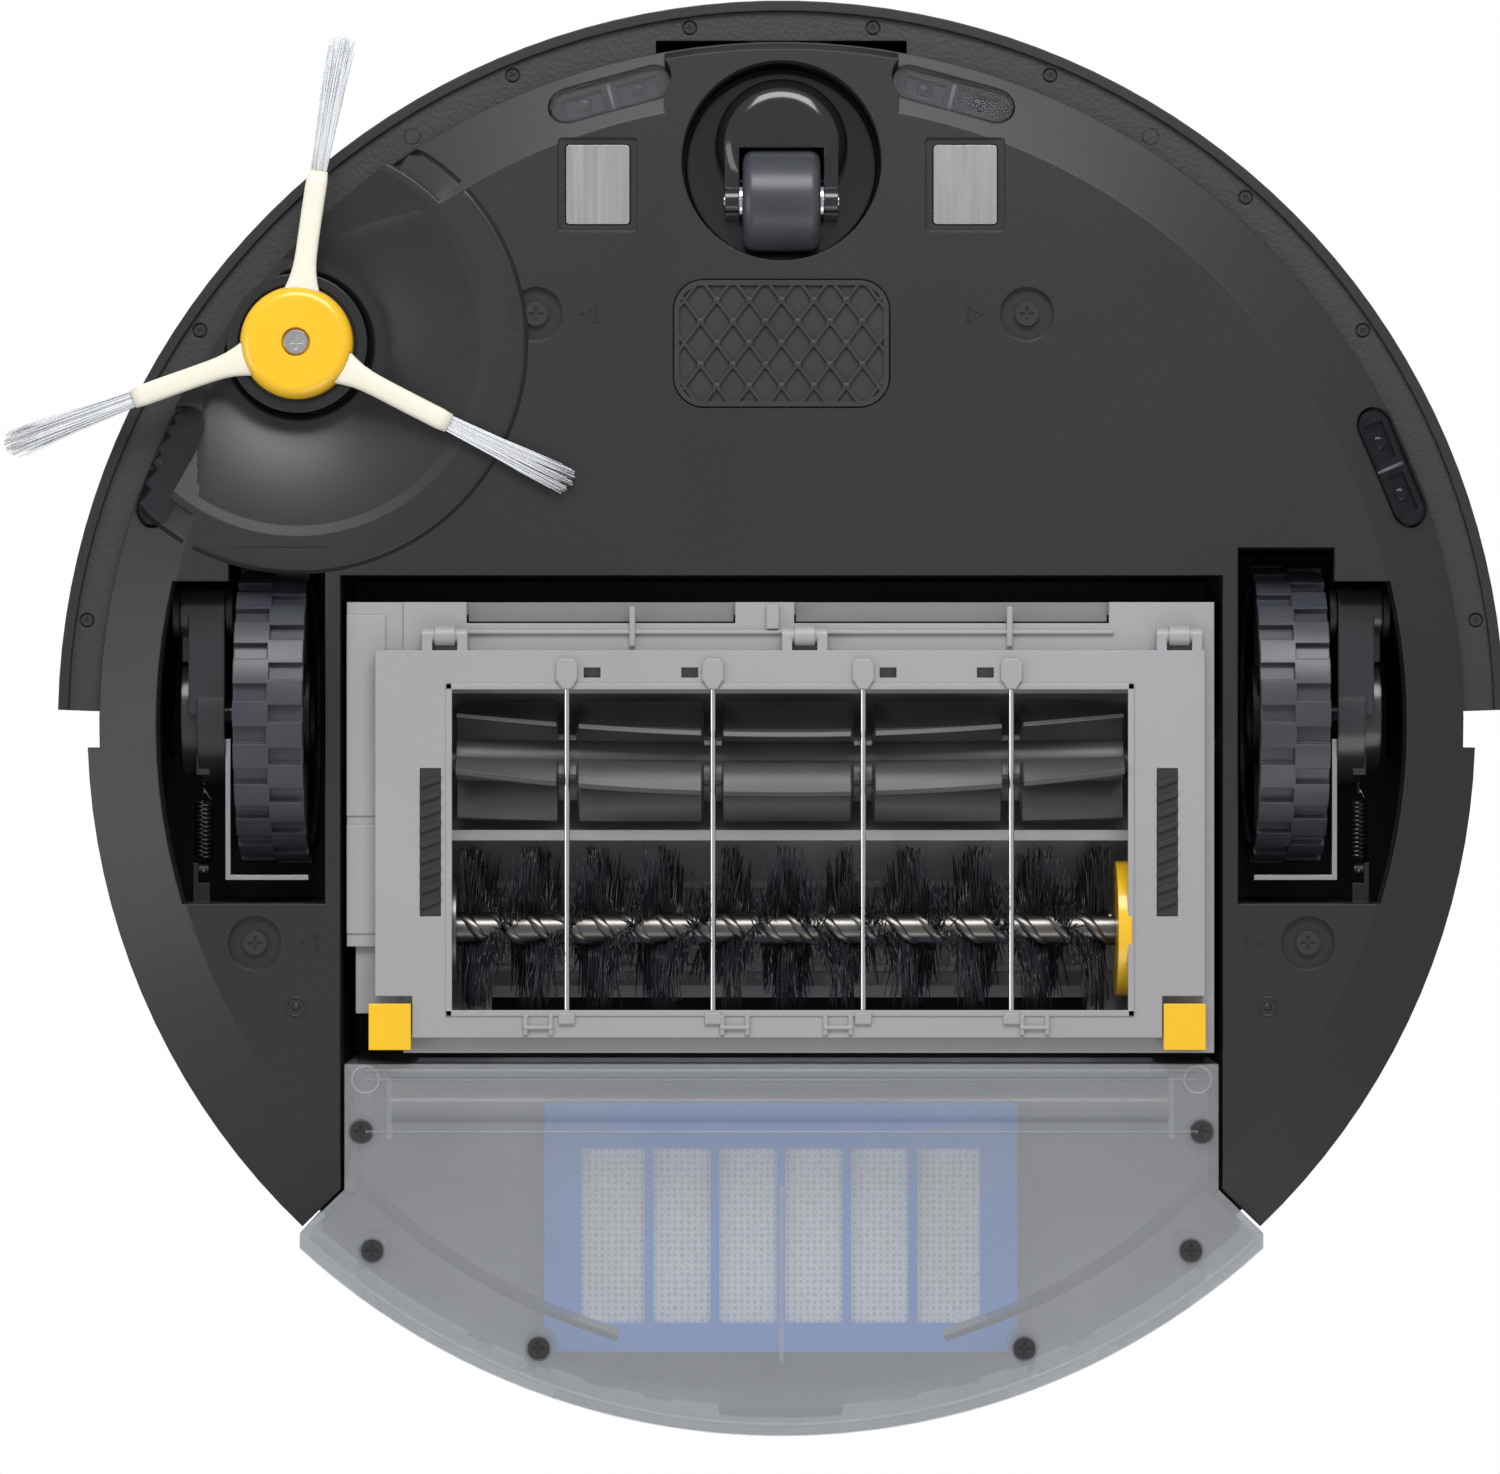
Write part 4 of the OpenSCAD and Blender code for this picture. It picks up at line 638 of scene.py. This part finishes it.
def makeBristles():
    low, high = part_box("bristle_tufts")
    capLow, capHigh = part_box("bristle_end_cap")
    axisY, axisZ = (capLow[1] + capHigh[1]) / 2, (capLow[2] + capHigh[2]) / 2
    radius = 20 * mm
    short = axisZ - wireTop - 0.5 * mm
    middle = (low[0] + high[0]) / 2
    rnd = random.Random(11)
    bm = bmesh.new()
    count = int((high[0] - low[0] - 3 * mm) / bristleBrush["step"])
    for row in range(bristleBrush["rows"]):
        for i in range(count):
            x0 = low[0] + 1.5 * mm + i * bristleBrush["step"]
            half = abs(x0 - middle) / ((high[0] - low[0]) / 2)
            turn = 2 * math.pi * (row / bristleBrush["rows"] + bristleBrush["turnsPerHalf"] * half)
            for k in range(bristleBrush["perBunch"]):
                a = turn + rnd.gauss(0, 0.16)
                x = x0 + rnd.gauss(0, 0.5) * mm
                lean = rnd.gauss(0, bristleBrush["lean"]) * 4.5 * mm
                length = radius - rnd.random() ** 2 * 3.2 * mm
                tipX = min(max(x + lean, low[0] + 0.6 * mm), high[0] - 0.6 * mm)
                if any(abs(tipX - wx) < 2.0 * mm or abs(x - wx) < 1.6 * mm for wx in wireXs):
                    length = min(length, short)
                bend = rnd.gauss(0, 0.05)
                points = []
                for j in range(4):
                    t = j / 3
                    r = 3 * mm + (length - 3 * mm) * t
                    b = a + bend * t * t
                    points.append(Vector((x + (tipX - x) * t, axisY + r * math.cos(b),
                        axisZ + r * math.sin(b))))
                w = bristleBrush["width"]
                tube(bm, points, [(w, w), (w, w), (w * 0.9, w * 0.9), (w * 0.6, w * 0.6)], sides=3,
                    up=Vector((1, 0.01, 0)))
    piece("bristles", bm, "blackBristle", "bristle_brush", ("bristle_tufts",))
    # two wires twisted together down the middle
    bm = bmesh.new()
    steps = int((high[0] - low[0]) / (0.8 * mm))
    for side in (0, math.pi):
        path = []
        for i in range(steps + 1):
            x = low[0] + (high[0] - low[0]) * i / steps
            a = side + math.pi * (x - low[0]) / bristleBrush["lumpPitch"]
            path.append(Vector((x, axisY + 2.2 * mm * math.cos(a), axisZ + 2.2 * mm * math.sin(a))))
        tube(bm, path, (1.9 * mm, 1.9 * mm), sides=10)
    piece("twistedWires", bm, "darkSteel", "bristle_brush")


flapper = {
    "blades": 6,
    "bow": 0.42,        # how far the middle of a blade runs ahead of its ends, in radians
    "hook": 0.28,       # how far a blade's edge leans back
    "thick": 1.1 * mm,
    "notch": 2.15 * mm,
}


def makeFlapper():
    low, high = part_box("flapper_core")
    axisY, axisZ = (low[1] + high[1]) / 2, (low[2] + high[2]) / 2
    left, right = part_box("flapper_blades")[0][0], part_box("flapper_blades")[1][0]
    middle, half = (left + right) / 2, (right - left) / 2
    inner, outer = 5.6 * mm, 14.3 * mm
    short = axisZ - wireTop - 0.7 * mm
    columns = sorted(set([left, right] + [left + (right - left) * i / 60 for i in range(61)]
                         + [w + s * flapper["notch"] for w in wireXs for s in (-1, 1)]
                         + [w + s * (flapper["notch"] + 0.8 * mm) for w in wireXs for s in (-1, 1)]))
    bm = bmesh.new()
    for blade in range(flapper["blades"]):
        base = 2 * math.pi * blade / flapper["blades"] - math.pi / 2 - 0.12
        rows = []
        for x in columns:
            u = (x - middle) / half
            near = min(abs(x - w) for w in wireXs)
            top = short if near <= flapper["notch"] + 0.01 * mm else outer
            column = []
            for j in range(8):
                t = j / 7
                r = inner + (top - inner) * t
                a = base + flapper["bow"] * (1 - u * u) * (0.35 + 0.65 * t) + flapper["hook"] * t * t
                thick = flapper["thick"] * (1.0 - 0.35 * t + (0.6 if t > 0.9 else 0.0)) / 2
                spot = Vector((x, axisY + r * math.cos(a), axisZ + r * math.sin(a)))
                aside = Vector((0, -math.sin(a), math.cos(a)))
                column.append((bm.verts.new(spot - aside * thick), bm.verts.new(spot + aside * thick)))
            rows.append(column)
        for first, second in zip(rows, rows[1:]):
            for j in range(7):
                bm.faces.new((first[j][0], second[j][0], second[j + 1][0], first[j + 1][0]))
                bm.faces.new((first[j][1], first[j + 1][1], second[j + 1][1], second[j][1]))
            bm.faces.new((first[-1][0], second[-1][0], second[-1][1], first[-1][1]))
            bm.faces.new((first[0][0], first[0][1], second[0][1], second[0][0]))
        for column in (rows[0], rows[-1]):
            for j in range(7):
                bm.faces.new((column[j][0], column[j + 1][0], column[j + 1][1], column[j][1]))
    thing = piece("flapperBlades", bm, "flapRubber", "flapper_brush",
        ("flapper_blades",), smooth=False)
    for face in thing.data.polygons:
        face.use_smooth = True
    thing.data.set_sharp_from_angle(angle=math.radians(40))


makeBristles()
makeFlapper()
print("floor brushes made")


# Wheel springs

coil = {"wire": 0.42 * mm, "radius": 2.0 * mm, "turns": 13}


def makeSprings():
    for side, name in ((-1, "left"), (1, "right")):
        low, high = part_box(name + "_spring")
        x, z = (low[0] + high[0]) / 2, (low[2] + high[2]) / 2
        y0, y1 = low[1] + 3 * mm, high[1] - 3 * mm
        path = []
        for i in range(9):   # hook round the gearbox's lug
            a = math.pi * 1.5 * i / 8 + math.pi * 0.5
            path.append(Vector((x, y0 - 2.0 * mm * math.cos(a - math.pi / 2) * 0.6,
                z + 2.0 * mm * math.sin(a - math.pi / 2) * 0.6)))
        steps = coil["turns"] * 14
        for i in range(steps + 1):
            a = 2 * math.pi * coil["turns"] * i / steps
            path.append(Vector((x + coil["radius"] * math.cos(a),
                y0 + 3 * mm + (y1 - y0 - 6 * mm) * i / steps, z + coil["radius"] * math.sin(a))))
        for i in range(9):
            a = math.pi * 1.5 * i / 8
            path.append(Vector((x, y1 + 2.0 * mm * math.cos(a - math.pi) * 0.6,
                z + 2.0 * mm * math.sin(a) * 0.6)))
        bm = bmesh.new()
        tube(bm, path, (coil["wire"], coil["wire"]), sides=7, up=Vector((1, 0.02, 0.01)))
        spring = piece(name + "WheelSpring", bm, "darkSteel", None, (name + "_spring",))
        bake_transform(spring)


makeSprings()
print("springs made")


# Underside details

underside = {
    "dishCentre": (-115.2 * mm, -90.6 * mm),
    "dishOuter": 46 * mm,
    "dishInner": 16.95 * mm,
    "dishDepth": 6.2 * mm,
    "dishFeather": 9 * mm,     # how far past the dish its soft edge runs
    "arrows": ((-45.9, -97.5, -1), (45.9, -97.5, 1), (-112.2, 52.1, -1), (112.2, 52.1, 1)),
    "dimples": ((-115.5, 67.2), (115.5, 67.2)),
    "bosses": (32.1, -32.1),
}


def makeDish():
    # a soft bowl over the moulded dish round the side brush
    cx, cy = underside["dishCentre"]
    outer, inner, depth = underside["dishOuter"], underside["dishInner"], underside["dishDepth"]
    full = outer + underside["dishFeather"]
    bevelSlope = (body["edgeHeight"] - body["bellyHeight"]) / (body["edgeRadius"] - body["creaseRadius"])
    bm = bmesh.new()
    loops = []
    sides, rings = 120, 26
    for k in range(rings + 1):
        r = inner + (full - inner) * k / rings
        loop = []
        for i in range(sides):
            a = 2 * math.pi * i / sides
            x, y = cx + r * math.cos(a), cy + r * math.sin(a)
            fromMiddle = math.hypot(x, y)
            limit = body["edgeRadius"] - 0.3 * mm
            if fromMiddle > limit:
                x, y = x * limit / fromMiddle, y * limit / fromMiddle
                fromMiddle = limit
            rr = math.hypot(x - cx, y - cy)
            t = min(1.0, max(0.0, (full - rr) / (full - inner - 4 * mm)))
            bowl = body["bellyHeight"] + depth * 0.98 * t ** 2.1
            bevel = body["bellyHeight"] + max(0.0, fromMiddle - body["creaseRadius"]) * bevelSlope
            loop.append(bm.verts.new((x, y, max(bowl, bevel) - 0.02 * mm)))
        loops.append(loop)
    for first, second in zip(loops, loops[1:]):
        bridge(bm, first, second)
    bmesh.ops.remove_doubles(bm, verts=bm.verts, dist=0.02 * mm)
    dish = piece("sideBrushDish", bm, "dishShell", "chassis")
    solid = dish.modifiers.new("thickness", "SOLIDIFY")
    solid.thickness = 0.01 * mm
    return dish


def makeMarks():
    z = body["bellyHeight"]
    bm = bmesh.new()
    for x, y, way in underside["arrows"]:   # raised outline arrows that point out to the screws
        x, y = x * mm, y * mm
        outer = [(x + way * 2.1 * mm, y), (x - way * 1.9 * mm, y - 2.2 * mm),
            (x - way * 1.9 * mm, y + 2.2 * mm)]
        mx, my = sum(p[0] for p in outer) / 3, sum(p[1] for p in outer) / 3
        inner = [(mx + (px - mx) * 0.72, my + (py - my) * 0.72) for px, py in outer]
        for i in range(3):
            j = (i + 1) % 3
            slab(bm, [outer[i], outer[j], inner[j], inner[i]], z - 0.18 * mm, z + 0.1 * mm)
    piece("arrowMarks", bm, "charcoalShell", "chassis", smooth=False)
    bm = bmesh.new()
    for x, y in underside["dimples"]:
        centre = Vector((x * mm, y * mm, z - 0.05 * mm))
        loop = [centre + Vector((2.2 * mm * math.cos(a), 2.2 * mm * math.sin(a),
            0)) for a in [2 * math.pi * i / 32 for i in range(33)]]
        tube(bm, loop, (0.32 * mm, 0.2 * mm), sides=8)
        dome(bm, (centre.x, centre.y, z + 0.05 * mm), 1.1 * mm, 0.25 * mm)
    piece("dimpleRings", bm, "charcoalShell", "chassis")
    # studs where the pad's ribs cross
    low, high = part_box("texture_pad")
    cx, cy = (low[0] + high[0]) / 2, (low[1] + high[1]) / 2
    bm = bmesh.new()
    stepX, stepY = 7.7 * mm, 7.7 * mm / math.tan(math.radians(37))
    for i in range(-8, 9):
        for j in range(-8, 9):
            if (i + j) % 2:
                continue
            x, y = i * stepX / 2, j * stepY / 2
            if abs(x) < (high[0] - low[0]) / 2 - 2.5 * mm and abs(y) < (high[1] - low[1]) / 2 - 2.2 * mm:
                dome(bm, (cx + x, cy + y, low[2] + 0.25 * mm), 1.05 * mm, 0.4 * mm, 14, 4)
    piece("padStuds", bm, "padRubber", "chassis")
    # flush bosses in the bumper's rim
    low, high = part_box("bumper_rim")
    bm = bmesh.new()
    for angle in underside["bosses"]:
        a = math.radians(angle)
        centre = Vector((166.2 * mm * math.sin(a), -166.2 * mm * math.cos(a), low[2] - 0.02 * mm))
        loop = [centre + Vector((1.9 * mm * math.cos(b), 1.9 * mm * math.sin(b),
            0)) for b in [2 * math.pi * i / 28 for i in range(29)]]
        tube(bm, loop, (0.22 * mm, 0.14 * mm), sides=8)
    piece("rimBosses", bm, "rimLeather", "bumper")


def makeCliffCells():
    # the lamp and the eye behind each window, and the bar between them
    points = [v.co.copy() for v in nodes["cliff_sensors"].data.vertices]
    groups = []
    for p in points:
        for g in groups:
            if (g[0] - p).length < 32 * mm:
                g.append(p)
                break
        else:
            groups.append([p])
    bulbs, bars = bmesh.new(), bmesh.new()
    for g in groups:
        low = Vector([min(p[i] for p in g) for i in range(3)])
        high = Vector([max(p[i] for p in g) for i in range(3)])
        centre = (low + high) / 2
        out = Vector((centre.x, centre.y, 0)).normalized()
        side = Vector((-out.y, out.x, 0))
        for s in (-1, 1):
            spot = centre + side * s * 6.7 * mm
            dome(bulbs, (spot.x, spot.y, spot.z + 0.4 * mm), 2.0 * mm, 1.0 * mm, 18, 5)
        a, b = centre - out * 3.4 * mm, centre + out * 3.4 * mm
        tube(bars, [a + Vector((0, 0, -2.0 * mm)), b + Vector((0, 0, 0.4 * mm))], (0.5 * mm, 0.5 * mm),
            sides=8)
    piece("cliffEyes", bulbs, "panelBlack", "chassis")
    piece("cliffBars", bars, "greyDeep", "chassis")


makeDish()
makeMarks()
makeCliffCells()
print("underside details made")


# Cleaning head and guard details

headTrim = {
    "knuckles": (-80, 5.5, 94.5),
    "ribs": (-35.5, 54.3),
    "clips": (-57.8, -11.1, 13.4, 60.1),
}


def makeHeadTrim():
    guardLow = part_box("brush_guard")[0]
    bm = bmesh.new()
    z = guardLow[2]
    for x in wireXs:   # round-nosed bosses that hold the wires' front ends
        slab(bm, [(x - 2.6 * mm, -10.6 * mm), (x - 2.6 * mm, -14.4 * mm), (x - 1.6 * mm, -15.6 * mm),
            (x + 1.6 * mm, -15.6 * mm),
                  (x + 2.6 * mm, -14.4 * mm), (x + 2.6 * mm, -10.6 * mm), (x + 1.1 * mm,
                      -8.2 * mm), (x - 1.1 * mm, -8.2 * mm)],
             z - 1.2 * mm, z + 0.6 * mm)
        slab(bm, [(x - 2.0 * mm, 68.4 * mm), (x - 2.0 * mm, 71.4 * mm), (x + 2.0 * mm, 71.4 * mm),
            (x + 2.0 * mm, 68.4 * mm)],
             z - 0.8 * mm, z + 0.4 * mm)
    for x in headTrim["clips"]:   # snap tabs on the rear bar
        x *= mm
        for s in (-1, 1):
            slab(bm, [(x + s * 2.4 * mm, 69.0 * mm), (x + s * 3.6 * mm, 69.0 * mm),
                (x + s * 3.6 * mm, 74.0 * mm), (x + s * 2.4 * mm, 74.0 * mm)][::s],
                 z - 0.7 * mm, z + 0.4 * mm)
        slab(bm, [(x - 3.6 * mm, 71.6 * mm), (x + 3.6 * mm, 71.6 * mm), (x + 3.6 * mm, 72.6 * mm),
            (x - 3.6 * mm, 72.6 * mm)],
             z - 0.9 * mm, z + 0.4 * mm)
    softEdges(piece("guardBosses", bm, "greyFrame", "guard", smooth=False), 0.35 * mm)
    # a raised lip round the guard's window
    bm = bmesh.new()
    corners = [(-79.0, -8.9), (83.0, -8.9), (83.0, 68.7), (-79.0, 68.7), (-79.0, -8.9)]
    for (x0, y0), (x1, y1) in zip(corners, corners[1:]):
        wide = 0.75 * mm
        a, b = Vector((x0 * mm, y0 * mm, 0)), Vector((x1 * mm, y1 * mm, 0))
        across = (b - a).normalized().cross(Vector((0, 0, 1))) * wide
        ahead = (b - a).normalized() * wide
        a, b = a - ahead, b + ahead
        slab(bm, [(a - across).xy, (b - across).xy, (b + across).xy, (a + across).xy], z - 0.35 * mm,
            z + 0.2 * mm)
    softEdges(piece("guardLip", bm, "greyFrame", "guard", smooth=False), 0.2 * mm)
    # ribs and a small latch post on the frame's front panel
    bm = bmesh.new()
    panel = 9.8 * mm
    for x in headTrim["ribs"]:
        x *= mm
        box(bm, (x - 0.7 * mm, -28 * mm, panel - 1.2 * mm),
            (x + 0.7 * mm, -18.4 * mm, panel + 0.4 * mm))
    box(bm, (-3.6 * mm, -28.4 * mm, panel - 1.4 * mm), (-0.6 * mm, -22.6 * mm, panel + 0.4 * mm))
    box(bm, (-76 * mm, -22.4 * mm, panel - 0.9 * mm), (79 * mm, -21.4 * mm, panel + 0.4 * mm))
    softEdges(piece("headRibs", bm, "greyFrame", "cleaning_head", smooth=False),
        0.25 * mm)
    # dark sunk panels behind the ribs, in a darker copy of the frame's grey: painted shade in the recess
    bm = bmesh.new()
    for x0, x1 in ((-74.6, -11.4), (3.4, 77.6)):
        box(bm, (x0 * mm, -28.9 * mm, panel + 2.6 * mm), (x1 * mm, -24.4 * mm, panel + 3.2 * mm))
    piece("headRecessShade", bm, "greyDeep", "cleaning_head", smooth=False)
    # trough behind the bristle brush: a light edge bar and a centre rib
    low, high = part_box("bristle_end_cap")
    axisY, axisZ = (low[1] + high[1]) / 2, (low[2] + high[2]) / 2
    bm = bmesh.new()
    reach = 21.6 * mm
    def arcPoint(angle, r):
        a = math.radians(angle)
        return axisY + r * math.cos(a), axisZ + r * math.sin(a)
    for angle, wide in ((118, 1.0 * mm), (62, 0.8 * mm)):
        y, zz = arcPoint(angle, reach)
        box(bm, (-79 * mm, y - wide, zz - 1.0 * mm), (82.8 * mm, y + wide, zz + 0.8 * mm))
    softEdges(piece("troughBars", bm, "greyFrame", "cleaning_head", smooth=False),
        0.3 * mm)
    # the gearbox's lid line, its screw and the motor's foot
    gl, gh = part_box("head_gearbox")
    bm = bmesh.new()
    x0, x1 = gl[0] + 3.4 * mm, gh[0]
    box(bm, (x0, -26 * mm, 10.0 * mm), (x0 + 9.4 * mm, 22 * mm, 10.6 * mm))
    box(bm, (x0, 24 * mm, 10.0 * mm), (x0 + 9.4 * mm, 50 * mm, 10.6 * mm))
    softEdges(piece("gearboxLid", bm, "greyFrame", "cleaning_head", smooth=False),
        0.25 * mm)


makeHeadTrim()
print("head details made")


# Bin details

binTrim = {
    "ribY": (110, 152),
    "wallCurve": ((-103.5, 107.5), (-84, 124.5), (-62, 137.5), (-39, 146.5)),
    "frontLines": (82.4, 84.6, 97.0),
}


def makeBinTrim():
    face = 8.6 * mm
    inside = face + 2.3 * mm
    bm = bmesh.new()
    y0, y1 = binTrim["ribY"]
    box(bm, (-0.6 * mm, y0 * mm, inside), (0.6 * mm, y1 * mm, inside + 6 * mm))
    for x in (-93.5, 93.0):
        box(bm, ((x - 0.6) * mm, 84 * mm, inside), ((x + 0.6) * mm, 99 * mm, inside + 5 * mm))
    softEdges(piece("binRib", bm, "smokedClear", "dust_bin", smooth=False), 0.2 * mm)
    # curved inner walls that funnel the dirt, in a darker copy of the smoked plastic: painted shade where
    # the walls are seen edge on
    bm = bmesh.new()
    for s in (-1, 1):
        pts = [Vector((-s * x * mm, y * mm, 0)) for x, y in binTrim["wallCurve"]]
        fine = []
        for i in range(len(pts) - 1):
            p0, p1, p2, p3 = pts[max(i - 1, 0)], pts[i], pts[i + 1], pts[min(i + 2, len(pts) - 1)]
            for k in range(8):
                t = k / 8
                fine.append(0.5 * (2 * p1 + (p2 - p0) * t + (2 * p0 - 5 * p1 + 4 * p2 - p3) * t * t
                                   + (3 * p1 - p0 - 3 * p2 + p3) * t ** 3))
        fine.append(pts[-1])
        tube(bm, [p + Vector((0, 0, inside + 9 * mm)) for p in fine], (0.7 * mm, 9 * mm), sides=4,
            squareness=0.01)
    piece("binInnerWalls", bm, "smokedWallShade", "dust_bin", smooth=False)
    # fine moulded lines along the front band, and the lip along the rear edge
    bm = bmesh.new()
    for y in binTrim["frontLines"]:
        tube(bm, [Vector((-99 * mm, y * mm, face - 0.05 * mm)),
            Vector((99 * mm, y * mm, face - 0.05 * mm))], (0.35 * mm, 0.3 * mm), sides=8)
    edge = []
    for i in range(61):
        a = math.radians(47.5 + 85 * i / 60)
        edge.append(Vector((166.6 * mm * math.cos(a), 166.6 * mm * math.sin(a), face - 0.05 * mm)))
    tube(bm, edge, (0.5 * mm, 0.35 * mm), sides=8)
    for s in (-1, 1):
        loop = [Vector((s * 99 * mm + 3.2 * mm * math.cos(a), 84.6 * mm + 3.2 * mm * math.sin(a),
            face - 0.05 * mm)) for a in [2 * math.pi * i / 32 for i in range(33)]]
        tube(bm, loop, (0.35 * mm, 0.25 * mm), sides=8)
    piece("binLines", bm, "smokedClear", "dust_bin")


makeBinTrim()
print("bin details made")
